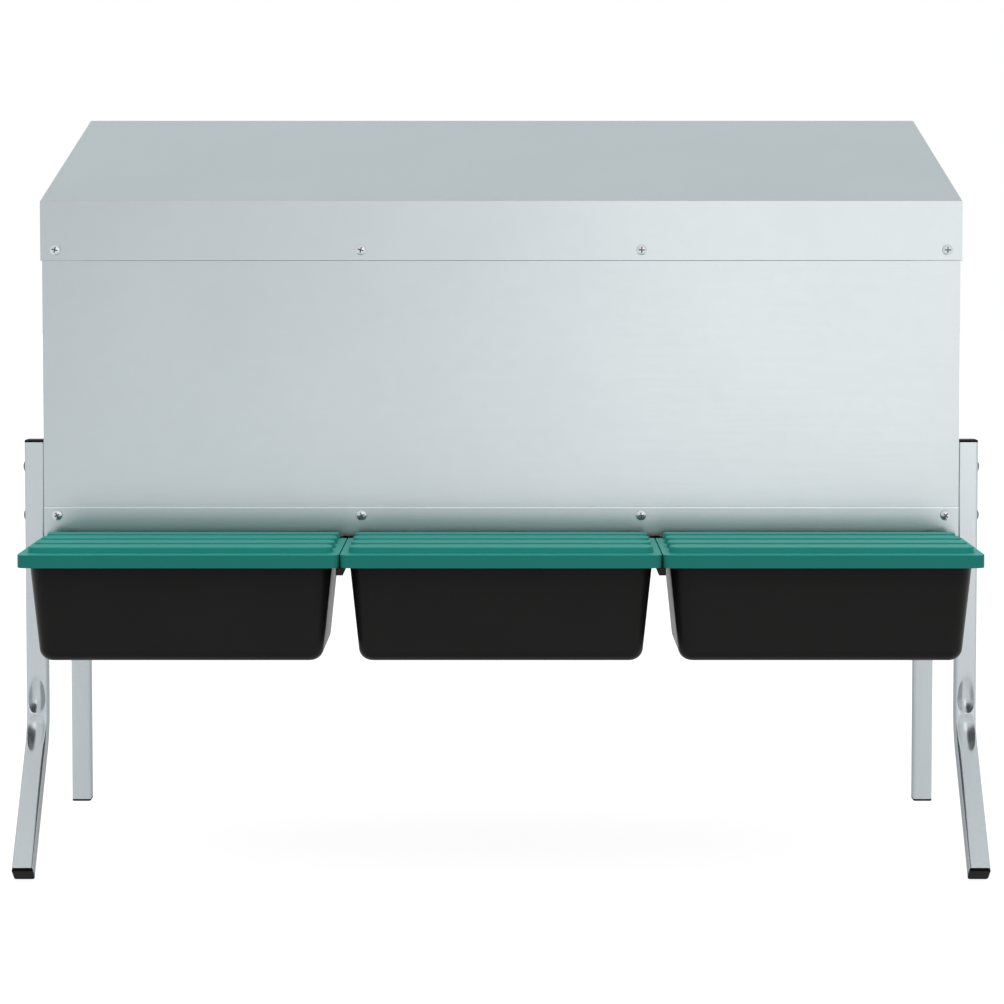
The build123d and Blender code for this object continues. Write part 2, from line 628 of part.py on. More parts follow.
def lid_rib(index, inset):
    """One cross rib with rounded ends and sloping flanks, or its hollow when it is inset."""
    length = LID_WIDTH - (RIB_EDGE + inset) * 2
    trim = 0.0 if index else REAR_RIB_TRIM
    width = RIB_WIDTH - trim - inset * 2
    outline = RectangleRounded(length, width, RIB_CORNER - trim / 2 - inset)
    rib = extrude(outline, amount=RIB_RISE + LID_WALL, taper=RIB_TAPER)
    if not inset:
        rib = fillet(rib.faces().sort_by(Axis.Z)[-1].edges(), RIB_ROUND)
    return Pos(0, -RIB_FIRST - trim / 2 - index * RIB_PITCH, LID_UNDER_Z - inset) * rib


def hinge_knuckle():
    x_high = KNUCKLE_X + KNUCKLE_WIDTH
    eye = rod_x(KNUCKLE_R, KNUCKLE_X, x_high, HINGE_Y, HINGE_Z)
    stem_top = LID_UNDER_Z + RIB_RISE + LID_WALL / 2
    stem = block(KNUCKLE_X, x_high, HINGE_Y - KNUCKLE_R, HINGE_Y + KNUCKLE_R, HINGE_Z, stem_top)
    return eye + stem


def tray_lid():
    lid = Pos(0, 0, LID_SKIRT_Z) * extrude(lid_plan(0), amount=LID_TOP_Z - LID_SKIRT_Z)
    under = Pos(0, 0, LID_SKIRT_Z) * extrude(lid_plan(LID_WALL), amount=LID_UNDER_Z - LID_SKIRT_Z)
    lid = lid - under - block(-NEST, NEST, -SKIRT_REAR, 0, LID_SKIRT_Z, LID_UNDER_Z)
    tongue = TRAY_WIDTH / 2 - TONGUE_INSET
    lid = lid + block(-tongue, tongue, -SKIRT_REAR, -LID_REAR, LID_UNDER_Z, LID_TOP_Z)
    for index in range(RIBS):
        lid = lid + lid_rib(index, 0)
    for index in range(RIBS):
        lid = lid - lid_rib(index, LID_WALL)
    lid = lid + hinge_knuckle() + mirror_x(hinge_knuckle())
    return lid - rod_x(PIN_R + PIN_FIT, -LID_WIDTH / 2, LID_WIDTH / 2, HINGE_Y, HINGE_Z)


def tray_rail(side):
    """T-shaped rail between two trays; its split tail is clamped over the partition."""
    x = PARTITION_X["right"]
    web = block(x - RAIL_WEB / 2, x + RAIL_WEB / 2, -RAIL_FRONT, TAIL_END, RAIL_FOOT_Z, TREAD_Z)
    tread_low = TREAD_Z - RAIL_TREAD_THICK
    tread = block(x - RAIL_TREAD / 2, x + RAIL_TREAD / 2, -TREAD_FRONT, TAIL_START, tread_low, TREAD_Z)
    tail = block(x - RAIL_WEB / 2, x + RAIL_WEB / 2, TAIL_START, TAIL_END, TAIL_LOW_Z, TAIL_HIGH_Z)
    rail = web + tread + tail
    slit = SHEET / 2 + HOLE_FIT
    rail = rail - block(x - slit, x + slit, FOLD_REAR_Y / 2, TAIL_END, TAIL_LOW_Z, TAIL_HIGH_Z)
    for y in TAIL_SCREW_Y:
        rail = rail - rod_x(TAIL_SCREW_R + HOLE_FIT, x - RAIL_WEB, x + RAIL_WEB, y, TAIL_SCREW_Z)
    return on_side(rail, side)


def outer_runner(side):
    """L-shaped runner on the inner face of an end wall."""
    x = HALF - SHEET
    tread_x = NEST_CENTRES["right"] + NEST / 2 - RAIL_TREAD / 2
    tread_low = TREAD_Z - RAIL_TREAD_THICK
    runner = block(x - RUNNER_WEB, x, -RUNNER_FRONT, TAIL_START, RUNNER_FOOT_Z, TREAD_Z)
    runner = runner + block(tread_x, x, -RUNNER_FRONT, TAIL_START, tread_low, TREAD_Z)
    runner = runner + block(x - RUNNER_WEB, x, TAIL_START, TAIL_END, TAIL_LOW_Z, TAIL_HIGH_Z)
    for y in TAIL_SCREW_Y:
        runner = runner - rod_x(TAIL_SCREW_R + HOLE_FIT, x - RAIL_WEB, x + SHEET, y, TAIL_SCREW_Z)
    return on_side(runner, side)


def runner_screws():
    clamp = pan_head_screw(TAIL_SCREW_R, TAIL_SCREW_HEAD_R, SCREW_HEAD, RAIL_WEB)
    outer = pan_head_screw(TAIL_SCREW_R, TAIL_SCREW_HEAD_R, SCREW_HEAD, SHEET + RUNNER_WEB)
    screws = []
    for y in TAIL_SCREW_Y:
        seat = PARTITION_X["right"] + RAIL_WEB / 2
        screws.append(facing(clamp, (seat, y, TAIL_SCREW_Z), (1, 0, 0)))
        screws.append(facing(outer, (HALF, y, TAIL_SCREW_Z), (1, 0, 0)))
    return both_sides(screws)


def pan_tub(inset):
    """Drafted tub with a floor that falls to the rear: two drawn outlines in common."""
    over = PAN_RIM_Z - PAN_LIP_Z if inset else 0.0
    top = PAN_RIM_Z + over
    half_top = PAN_MOUTH / 2 - inset + over * PAN_TAN
    low = PAN_LIP_Z - PAN_WALL - PAN_ROUND
    half_low = half_top - (top - low) * PAN_TAN
    across = ((-half_top, top), (half_top, top), (half_low, low), (-half_low, low))
    rear = PAN_REAR - over
    front_low = PAN_FRONT - inset - (PAN_RIM_Z - floor_z(PAN_FRONT)) * PAN_TAN
    lift = 0.0 if inset else -PAN_WALL
    along = (
        (rear, top), (rear, floor_z(rear) + lift), (front_low, floor_z(front_low) + lift),
        (PAN_FRONT - inset + over * PAN_TAN, top),
    )
    tub = prism_along_y(across, rear, PAN_FRONT + over) & prism_along_x(along, -NEST / 2, NEST / 2)
    floor = tub.faces().filter_by(lambda f: f.normal_at().Z < -0.9)[0]
    rounds = floor.edges().filter_by(lambda e: e.center().Y > rear + PAN_WALL)
    return fillet(rounds, PAN_ROUND - inset)


def floor_z(y):
    return PAN_LIP_Z + (y - PAN_REAR) * FALL_TAN


def pan_slots():
    slots = []
    for row in range(SLOT_ROWS):
        y = SLOT_MARGIN_Y + row * SLOT_PITCH_Y
        for column in range(SLOT_COLUMNS):
            x = (column - (SLOT_COLUMNS - 1) / 2) * SLOT_PITCH_X
            spot = Pos(x, y, floor_z(y)) * Rot(PAN_FALL, 0, 0)
            slots.append(spot * Box(SLOT_LENGTH, SLOT_WIDTH, PAN_WALL * 4))
    return slots


def nest_pan():
    half = PAN_RIM_WIDTH / 2
    rim = block(-half, half, PAN_RIM_REAR, PAN_RIM_FRONT, LEDGE_Z, PAN_RIM_Z)
    rim = fillet(rim.edges().filter_by(Axis.Z), PAN_RIM)
    pan = pan_tub(0) + rim - pan_tub(PAN_WALL)
    pan = pan - block(-half, half, 0, PAN_EAR_REAR, PAN_EAR_Z, PAN_RIM_Z + PAN_RIM)
    return pan - pan_slots()


def pan_ledges():
    """Folded angles on the end walls and on both faces of each partition."""
    def ledge(face_x, turn):
        points = (
            (face_x, LEDGE_Z), (face_x + turn * LEDGE, LEDGE_Z), (face_x + turn * LEDGE, LEDGE_Z - SHEET),
            (face_x + turn * SHEET, LEDGE_Z - SHEET), (face_x + turn * SHEET, LEDGE_Z - LEDGE_DROP),
            (face_x, LEDGE_Z - LEDGE_DROP),
        )
        return prism_along_y(points, PAN_RIM_REAR, PAN_RIM_FRONT)
    middle = PARTITION_X["right"]
    return both_sides([
        ledge(HALF - SHEET, -1), ledge(middle + SHEET / 2, 1), ledge(middle - SHEET / 2, -1),
    ])


def perch_arm(side):
    """L-shaped strap: pivots at its top, bears on the front leg below, holds the bar in front."""
    half = ARM_WIDTH / 2
    strap = SlotCenterToCenter(PIVOT_Z - PERCH_Z, ARM_WIDTH, rotation=90)
    upright = Pos(PIVOT_Y, (PIVOT_Z + PERCH_Z) / 2) * strap
    reach = Pos((PIVOT_Y + PERCH_Y) / 2, PERCH_Z) * SlotCenterToCenter(PERCH_Y - PIVOT_Y, ARM_WIDTH)
    web = Pos(PIVOT_Y + half * 1.5, PERCH_Z + half * 1.5) * Rectangle(half, half)
    web = web - Pos(PIVOT_Y + half * 2, PERCH_Z + half * 2) * Circle(half)
    outline = upright + reach + web
    outline = outline - Pos(PIVOT_Y, PIVOT_Z) * Circle(PIVOT_R + PIVOT_FIT)
    outline = outline - Pos(PERCH_Y, PERCH_Z) * Circle(SCREW_R + HOLE_FIT)
    arm = Pos(ARM_X, 0, 0) * extrude(Plane.YZ * outline, amount=ARM, dir=(1, 0, 0))
    return on_side(arm, side)


def perch_bar():
    bar = rod_x(PERCH_R, -ARM_X, ARM_X, PERCH_Y, PERCH_Z)
    bar = chamfer(bar.edges().filter_by(GeomType.CIRCLE), SHEET * 2)
    for sign in SIDES.values():
        ends = (sign * ARM_X, sign * (ARM_X - PERCH_R * 2 - SHEET))
        bar = bar - rod_x(SCREW_R + HOLE_FIT, min(ends), max(ends), PERCH_Y, PERCH_Z)
    return bar


def perch_pivot_bolts():
    length = ARM + ARM_GAP * 2 + SHEET + NUT + BOLT_END
    bolt = pan_head_screw(PIVOT_R, PIVOT_HEAD_R, PIVOT_HEAD, length)
    return both_sides([facing(bolt, (ARM_X + ARM + ARM_GAP, PIVOT_Y, PIVOT_Z), (1, 0, 0))])


def perch_pivot_nuts():
    nut = hex_nut(PIVOT_NUT_R, NUT, PIVOT_R + HOLE_FIT)
    return both_sides([facing(nut, (HALF - SHEET, PIVOT_Y, PIVOT_Z), (-1, 0, 0))])


def perch_bar_screws():
    screw = pan_head_screw(SCREW_R, SCREW_HEAD_R, SCREW_HEAD, ARM + PERCH_R * 2)
    return both_sides([facing(screw, (ARM_X + ARM, PERCH_Y, PERCH_Z), (1, 0, 0))])


def all_pieces():
    pieces = {
        "roof": roof(), "rear_wall": rear_wall(), "rear_rail": rear_rail(),
        "front_header": front_header(), "front_sill": front_sill(), "pan_ledges": pan_ledges(),
        "leg_top_caps": leg_top_caps(), "leg_foot_caps": leg_foot_caps(),
        "leg_screws": leg_screws(), "leg_nuts": leg_nuts(),
        "roof_screws": roof_screws(), "rail_screws": rail_screws(),
        "header_screws": header_screws(), "sill_screws": sill_screws(), "runner_screws": runner_screws(),
        "perch_bar": perch_bar(), "perch_pivot_bolts": perch_pivot_bolts(),
        "perch_pivot_nuts": perch_pivot_nuts(), "perch_bar_screws": perch_bar_screws(),
    }
    handed = {
        "end_wall": end_wall, "partition": partition, "tray_rail": tray_rail, "outer_runner": outer_runner,
        "rear_leg": rear_leg, "front_leg": front_leg, "perch_arm": perch_arm,
    }
    for side in SIDES:
        for name, make in handed.items():
            pieces[f"{side}_{name}"] = make(side)
    tray, lid, pan, pins = egg_tray(), tray_lid(), nest_pan(), hinge_pins()
    for place, x in NEST_CENTRES.items():
        spot = Pos(x, 0, 0)
        pieces[f"egg_tray_{place}"] = spot * tray
        pieces[f"tray_lid_{place}"] = spot * lid
        pieces[f"nest_pan_{place}"] = spot * pan
        pieces[f"hinge_pins_{place}"] = [spot * pin for pin in pins]
    return pieces


def write_node(node, piece):
    """One file for one piece, or for a group of like pieces, in the finished frame."""
    finished = Pos(0, -MIDDLE_Y, 0)
    if isinstance(piece, list):
        export_step(Compound(children=[finished * solid for solid in piece]), f"parts/{node}.step")
    else:
        export_step(finished * piece, f"parts/{node}.step")


os.makedirs("parts", exist_ok=True)
for node, piece in all_pieces().items():
    write_node(node, piece)
print("origin moved back by", MIDDLE_Y)
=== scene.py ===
# %% [markdown]
# # A nesting box with roll-away egg trays
# Hens walk in on the far side, and their eggs roll down under the rear wall into three lidded trays.
# The shapes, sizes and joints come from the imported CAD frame. This lesson gives each piece its finish,
# rebuilds the few pieces that need finer form than CAD gave them, and sets up a plain studio around it.

# %% Load the frame
import json
import math

import bmesh
import bpy
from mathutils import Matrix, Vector


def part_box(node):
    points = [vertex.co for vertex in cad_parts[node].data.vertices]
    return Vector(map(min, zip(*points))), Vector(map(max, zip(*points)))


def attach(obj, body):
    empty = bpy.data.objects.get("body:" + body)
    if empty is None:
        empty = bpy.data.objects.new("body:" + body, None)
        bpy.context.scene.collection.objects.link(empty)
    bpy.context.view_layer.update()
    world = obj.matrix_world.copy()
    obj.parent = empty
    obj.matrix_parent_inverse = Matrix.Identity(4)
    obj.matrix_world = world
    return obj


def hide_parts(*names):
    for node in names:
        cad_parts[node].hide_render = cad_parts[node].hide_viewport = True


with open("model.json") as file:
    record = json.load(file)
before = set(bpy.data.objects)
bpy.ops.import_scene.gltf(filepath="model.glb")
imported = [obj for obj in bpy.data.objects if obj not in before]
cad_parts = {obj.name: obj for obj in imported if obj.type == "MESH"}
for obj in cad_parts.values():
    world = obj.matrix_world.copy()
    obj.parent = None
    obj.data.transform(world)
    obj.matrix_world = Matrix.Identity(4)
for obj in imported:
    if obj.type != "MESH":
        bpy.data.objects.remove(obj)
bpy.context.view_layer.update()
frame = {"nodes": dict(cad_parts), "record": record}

NODES = frame["nodes"]
MM = 0.001
print("pieces in the frame:", len(NODES))

# %% [markdown]
# ## Small helpers
# Colours are written as sRGB hex, the way a paint chart gives them, and shaders want linear light,
# so one function turns one into the other. A second function adds a node with its settings and links;
# it serves shader trees and geometry trees alike. Texture scales are given as sizes in millimetres.

# %% Colour and node helpers
MIX_FACTOR, MIX_A, MIX_B, MIX_COLOUR = 0, 6, 7, 2   # a Mix node's colour sockets, which share their names


def linear(hex_code):
    """An sRGB hex colour as the linear RGBA that shaders use."""
    parts = [int(hex_code[i:i + 2], 16) / 255 for i in (1, 3, 5)]
    rgb = [c / 12.92 if c <= 0.04045 else ((c + 0.055) / 1.055) ** 2.4 for c in parts]
    return (*rgb, 1.0)


def add(tree, kind, inputs=None, **settings):
    """One node: settings are properties; an input is a value, a socket to link from, or a list of them."""
    made = tree.nodes.new(kind)
    for name, value in settings.items():
        setattr(made, name, value)
    for name, value in (inputs or {}).items():
        sources = value if isinstance(value, list) else [value]
        for source in sources:
            if isinstance(source, bpy.types.NodeSocket):
                tree.links.new(source, made.inputs[name])
            else:
                made.inputs[name].default_value = source
    return made


def new_material(name):
    """An empty material with one Principled shader, which is returned with its tree."""
    material = bpy.data.materials.new(name)
    material.use_nodes = True
    tree = material.node_tree
    tree.nodes.clear()
    shader = add(tree, "ShaderNodeBsdfPrincipled")
    add(tree, "ShaderNodeOutputMaterial", {"Surface": shader.outputs["BSDF"]})
    return material, tree, shader


def per_metre(size_mm):
    """Texture scale whose features are about this many millimetres apart."""
    return 1 / (size_mm * MM)


# %% [markdown]
# ## Galvanised sheet
# The housing is steel sheet dipped in zinc and rolled smooth. To the eye it is a pale, slightly blue
# satin mirror: it shows what stands before it as a soft blur, which is why the wall darkens above
# the lids. A metal shader with low roughness gives that by itself. The zinc's crystals, about 11 mm
# across, change the tone a little, and the sheet is never quite flat, so a very low bump of wide waves
# bends the reflections. Given a height, the function also paints a bright band just under it: a painted
# highlight that stands in for the light a sheet's top edge catches.

# %% Galvanised sheet material
# Painted highlight: a bright band of colour just under the rail's top edge.
PAINTED_HIGHLIGHT_START = 2.0 * MM         # where the bright band starts, below the edge
PAINTED_HIGHLIGHT_FULL = 1.2 * MM    # where it is at its brightest


def galvanised_sheet(name, painted_highlight_z=None):
    material, tree, shader = new_material(name)
    place = add(tree, "ShaderNodeTexCoord").outputs["Object"]
    cloud = add(tree, "ShaderNodeTexNoise", {"Vector": place, "Scale": per_metre(120), "Detail": 2.0})
    tone = add(tree, "ShaderNodeMix", {MIX_FACTOR: cloud.outputs["Fac"], MIX_A: linear("#aeb6b9"),
               MIX_B: linear("#b3bbbe")}, data_type="RGBA")
    crystal = add(tree, "ShaderNodeTexVoronoi", {"Vector": place, "Scale": per_metre(11)}, feature="F1")
    shade = add(tree, "ShaderNodeSeparateColor", {"Color": crystal.outputs["Color"]})
    tint = add(tree, "ShaderNodeMapRange", {"Value": shade.outputs["Red"], "To Min": 0.994, "To Max": 1.006})
    spangle = add(tree, "ShaderNodeVectorMath", {0: tone.outputs[MIX_COLOUR],
                  "Scale": tint.outputs["Result"]}, operation="SCALE")
    across = add(tree, "ShaderNodeMapping", {"Vector": place, "Scale": (0.02, 1.0, 1.0)})
    rolled = add(tree, "ShaderNodeTexNoise", {"Vector": across.outputs["Vector"], "Scale": per_metre(1.6),
                 "Detail": 3.0})
    rough = add(tree, "ShaderNodeMapRange", {"Value": rolled.outputs["Fac"], "To Min": 0.21, "To Max": 0.26})
    wave = add(tree, "ShaderNodeTexNoise", {"Vector": place, "Scale": per_metre(300), "Detail": 0.0})
    bump = add(tree, "ShaderNodeBump", {"Height": wave.outputs["Fac"], "Strength": 0.06,
               "Distance": 1.2 * MM})
    colour = spangle.outputs[0]
    # Painted highlight: the colour turns to a light zinc in the last 2 mm under the given height.
    if painted_highlight_z is not None:
        height = add(tree, "ShaderNodeSeparateXYZ", {"Vector": place})
        edge = add(tree, "ShaderNodeMapRange", {"Value": height.outputs["Z"],
                   "From Min": painted_highlight_z - PAINTED_HIGHLIGHT_START, "From Max": painted_highlight_z - PAINTED_HIGHLIGHT_FULL})
        painted_highlight = add(tree, "ShaderNodeMix", {MIX_FACTOR: edge.outputs["Result"], MIX_A: colour,
                     MIX_B: linear("#c4ccd0")}, data_type="RGBA")
        colour = painted_highlight.outputs[MIX_COLOUR]
    tree.links.new(colour, shader.inputs["Base Color"])
    tree.links.new(rough.outputs["Result"], shader.inputs["Roughness"])
    tree.links.new(bump.outputs["Normal"], shader.inputs["Normal"])
    shader.inputs["Metallic"].default_value = 0.95
    shader.inputs["Specular Tint"].default_value = (0.76, 0.80, 0.80, 1.0)
    return material


# %% [markdown]
# ## Zinc-plated tube, steel and screws
# The legs are drawn tube, so their satin has faint streaks along the tube. Noise that is stretched
# along Z gives them. Passivated zinc does not grow brighter at a flat angle as a clean metal does, so a
# dark edge tint keeps the tube's sides grey. Screws, nuts and pins are plated bright and have no
# direction of their own.

# %% Zinc materials
def zinc_tube():
    material, tree, shader = new_material("zinc_plated_tube_drawn")
    place = add(tree, "ShaderNodeTexCoord").outputs["Object"]
    along = add(tree, "ShaderNodeMapping", {"Vector": place, "Scale": (1.0, 1.0, 0.03)})
    streak = add(tree, "ShaderNodeTexNoise", {"Vector": along.outputs["Vector"], "Scale": per_metre(1.5),
                 "Detail": 3.0})
    tone = add(tree, "ShaderNodeMix", {MIX_FACTOR: streak.outputs["Fac"], MIX_A: linear("#b3babe"),
               MIX_B: linear("#bdc4c8")}, data_type="RGBA")
    rough = add(tree, "ShaderNodeMapRange", {"Value": streak.outputs["Fac"], "To Min": 0.2, "To Max": 0.28})
    bump = add(tree, "ShaderNodeBump", {"Height": streak.outputs["Fac"], "Strength": 0.12,
               "Distance": 0.1 * MM})
    tree.links.new(tone.outputs[MIX_COLOUR], shader.inputs["Base Color"])
    tree.links.new(rough.outputs["Result"], shader.inputs["Roughness"])
    tree.links.new(bump.outputs["Normal"], shader.inputs["Normal"])
    shader.inputs["Metallic"].default_value = 0.85
    shader.inputs["Specular Tint"].default_value = (0.42, 0.44, 0.45, 1.0)
    return material


def plated_steel(name, dark, light, low, high):
    material, tree, shader = new_material(name)
    place = add(tree, "ShaderNodeTexCoord").outputs["Object"]
    blotch = add(tree, "ShaderNodeTexNoise", {"Vector": place, "Scale": per_metre(3), "Detail": 4.0})
    tone = add(tree, "ShaderNodeMix", {MIX_FACTOR: blotch.outputs["Fac"], MIX_A: linear(dark),
               MIX_B: linear(light)}, data_type="RGBA")
    rough = add(tree, "ShaderNodeMapRange", {"Value": blotch.outputs["Fac"], "To Min": low, "To Max": high})
    tree.links.new(tone.outputs[MIX_COLOUR], shader.inputs["Base Color"])
    tree.links.new(rough.outputs["Result"], shader.inputs["Roughness"])
    shader.inputs["Metallic"].default_value = 1.0
    return material


# %% [markdown]
# ## Moulded polypropylene
# Trays, lids, nest pans, rails and caps are all moulded plastic. Its colour goes right through, and its
# skin copies the steel mould: a satin gloss with a fine grain. So one function makes them all, with the
# colour, the gloss and the grain as its inputs. The grain is drawn at about 1 mm, coarser than real
# grain, because a finer one would not show at this distance.

# %% Plastic material
def moulded_plastic(name, dark, light, gloss, rough_low, rough_high, grain_mm, grain_height_mm):
    material, tree, shader = new_material(name)
    place = add(tree, "ShaderNodeTexCoord").outputs["Object"]
    flow = add(tree, "ShaderNodeTexNoise", {"Vector": place, "Scale": per_metre(60), "Detail": 3.0})
    grain = add(tree, "ShaderNodeTexNoise", {"Vector": place, "Scale": per_metre(grain_mm), "Detail": 2.0})
    tone = add(tree, "ShaderNodeMix", {MIX_FACTOR: flow.outputs["Fac"], MIX_A: linear(dark),
               MIX_B: linear(light)}, data_type="RGBA")
    rough = add(tree, "ShaderNodeMapRange", {"Value": flow.outputs["Fac"], "To Min": rough_low,
                "To Max": rough_high})
    bump = add(tree, "ShaderNodeBump", {"Height": grain.outputs["Fac"], "Strength": 0.3,
               "Distance": grain_height_mm * MM})
    tree.links.new(tone.outputs[MIX_COLOUR], shader.inputs["Base Color"])
    tree.links.new(rough.outputs["Result"], shader.inputs["Roughness"])
    tree.links.new(bump.outputs["Normal"], shader.inputs["Normal"])
    shader.inputs["IOR"].default_value = 1.49
    shader.inputs["Specular IOR Level"].default_value = gloss
    return material


# %% [markdown]
# ## Turned beech
# The perch is a beech rod. Beech is pale and even, with fine pores drawn out along the grain, which
# runs along X here. Noise stretched along X makes the bands, and a second, finer one the pores.

# %% Beech material
def turned_beech():
    material, tree, shader = new_material("beech_turned")
    place = add(tree, "ShaderNodeTexCoord").outputs["Object"]
    along = add(tree, "ShaderNodeMapping", {"Vector": place, "Scale": (0.04, 1.0, 1.0)})
    band = add(tree, "ShaderNodeTexNoise", {"Vector": along.outputs["Vector"], "Scale": per_metre(5),
               "Detail": 4.0, "Distortion": 0.6})
    pore = add(tree, "ShaderNodeTexNoise", {"Vector": along.outputs["Vector"], "Scale": per_metre(0.8),
               "Detail": 2.0})
    tone = add(tree, "ShaderNodeMix", {MIX_FACTOR: band.outputs["Fac"], MIX_A: linear("#b58658"),
               MIX_B: linear("#d3aa7c")}, data_type="RGBA")
    fleck = add(tree, "ShaderNodeMapRange", {"Value": pore.outputs["Fac"], "From Min": 0.6,
                "From Max": 0.75})
    speck = add(tree, "ShaderNodeMix", {MIX_FACTOR: fleck.outputs["Result"],
                MIX_A: tone.outputs[MIX_COLOUR], MIX_B: linear("#8d6239")}, data_type="RGBA")
    bump = add(tree, "ShaderNodeBump", {"Height": pore.outputs["Fac"], "Strength": 0.2,
               "Distance": 0.2 * MM})
    tree.links.new(speck.outputs[MIX_COLOUR], shader.inputs["Base Color"])
    tree.links.new(bump.outputs["Normal"], shader.inputs["Normal"])
    shader.inputs["Roughness"].default_value = 0.55
    return material


# %% [markdown]
# ## Give every node its finish
# The record names a material slot for each node, so the finishes are handed out by slot.

# %% Assign materials by slot
FINISH = {
    "galvanised_sheet": galvanised_sheet("galvanised_sheet_rolled"),
    "zinc_tube": zinc_tube(),
    "zinc_steel": plated_steel("zinc_plated_strap", "#a9b0b6", "#bcc3c8", 0.3, 0.45),
    "zinc_screw": plated_steel("zinc_plated_screw", "#b9bec2", "#d2d6d8", 0.26, 0.36),
    "black_tray_plastic": moulded_plastic("polypropylene_black_gloss", "#191a19", "#1e1f1e", 0.08,
                                          0.3, 0.4, 1.2, 0.02),
    "green_lid_plastic": moulded_plastic("polypropylene_green_satin", "#1f786e", "#247f76", 0.07,
                                         0.4, 0.5, 1.2, 0.02),
    "black_pan_plastic": moulded_plastic("polypropylene_black_matt", "#191a1a", "#202121", 0.3,
                                         0.45, 0.6, 1.5, 0.05),
    "black_rail_plastic": moulded_plastic("nylon_black_rail", "#0f1010", "#141515", 0.15,
                                          0.4, 0.5, 1.2, 0.03),
    "black_cap_plastic": moulded_plastic("polyethylene_black_cap", "#050606", "#080909", 0.04,
                                         0.4, 0.5, 1.0, 0.03),
    "beech_wood": turned_beech(),
}
SLOT_OF = {row["node"]: row["material_slot"] for row in frame["record"]["subparts"]}
for node_name, node_object in NODES.items():
    node_object.data.materials.clear()
    node_object.data.materials.append(FINISH[SLOT_OF[node_name]])
# The rear rail's sheet gets a painted highlight along its top edge.
RAIL_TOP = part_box("rear_rail")[1][2]
NODES["rear_rail"].data.materials[0] = galvanised_sheet("galvanised_sheet_painted_top_highlight", RAIL_TOP)
print("finishes:", sorted(FINISH))

# %% [markdown]
# ## Where the screws sit
# CAD keeps each row of screws as one node of separate solids. A merged copy of the node's mesh falls
# apart into islands, one for each screw. In an island, the direction that differs from the two equal
# ones is the screw's axis, and its widest points are the rim of its head.

# %% Find the screws
MERGE = 0.001 * MM          # corner points nearer than this are one
RIM_SHARE = 0.97            # points further out than this share of the radius are on the head's rim


def merged_copy(node_name):
    """A copy of a CAD node's mesh, with the corner points that its faces share made one."""
    shape = bmesh.new()
    shape.from_mesh(NODES[node_name].data)
    bmesh.ops.remove_doubles(shape, verts=shape.verts, dist=MERGE)
    return shape


def islands(node_name):
    """The corner points of each separate solid of a CAD node."""
    shape = merged_copy(node_name)
    left = set(shape.verts)
    groups = []
    for start in shape.verts:
        if start not in left:
            continue
        left.discard(start)
        stack = [start]
        group = []
        while stack:
            vert = stack.pop()
            group.append(vert.co.copy())
            for edge in vert.link_edges:
                other = edge.other_vert(vert)
                if other in left:
                    left.discard(other)
                    stack.append(other)
        groups.append(group)
    shape.free()
    return groups


def screw_spot(points):
    """Seat, outward axis, head radius, head height and shank length of one screw."""
    low = Vector([min(p[i] for p in points) for i in range(3)])
    high = Vector([max(p[i] for p in points) for i in range(3)])
    size = high - low
    axis = min(range(3), key=lambda i: abs(size[(i + 1) % 3] - size[(i + 2) % 3]))
    middle = (low + high) / 2
    radius = size[(axis + 1) % 3] / 2

    def off_axis(point):
        across = point - middle
        across[axis] = 0
        return across.length

    rim = [p[axis] for p in points if off_axis(p) > radius * RIM_SHARE]
    outward = 1 if sum(rim) / len(rim) > middle[axis] else -1
    seat_at = min(rim) if outward > 0 else max(rim)
    top_at = high[axis] if outward > 0 else low[axis]
    seat = middle.copy()
    seat[axis] = seat_at
    direction = Vector((0, 0, 0))
    direction[axis] = outward
    head = abs(top_at - seat_at)
    return {"seat": seat, "axis": direction, "radius": radius, "head": head, "shank": size[axis] - head}


SCREW_NODES = {
    "roof_screws": "housing", "rail_screws": "housing", "header_screws": "housing", "sill_screws": "housing",
    "leg_screws": "housing", "runner_screws": "housing", "perch_pivot_bolts": "housing",
    "perch_bar_screws": "perch",
}
SPOTS = {name: [screw_spot(points) for points in islands(name)] for name in SCREW_NODES}
for name, spots in SPOTS.items():
    print(name, len(spots), "screws, head radius", round(spots[0]["radius"] / MM, 2), "mm")

# %% [markdown]
# ## Cross-recess screws
# A pan-head screw is a low dome with a cross pressed into it. The tree below makes one: a cylinder and
# a ball in common give the domed head, two crossed bars cut the recess, and a cylinder is the shank.
# The faces of the recess are marked, so that they can be given a darker, rougher zinc, a painted shade,
# because light hardly gets into them. The screw is then set on every seat, turned to the seat's axis, and
# spun by a random but fixed angle, as screws stop where they stop.

# %% Screw tree
SKIN = 0.05 * MM            # a face lies in the recess if it is further than this inside the ball
HEAD_SIDES, SHANK_SIDES = 48, 24
BALL_SEGMENTS, BALL_RINGS = 64, 96


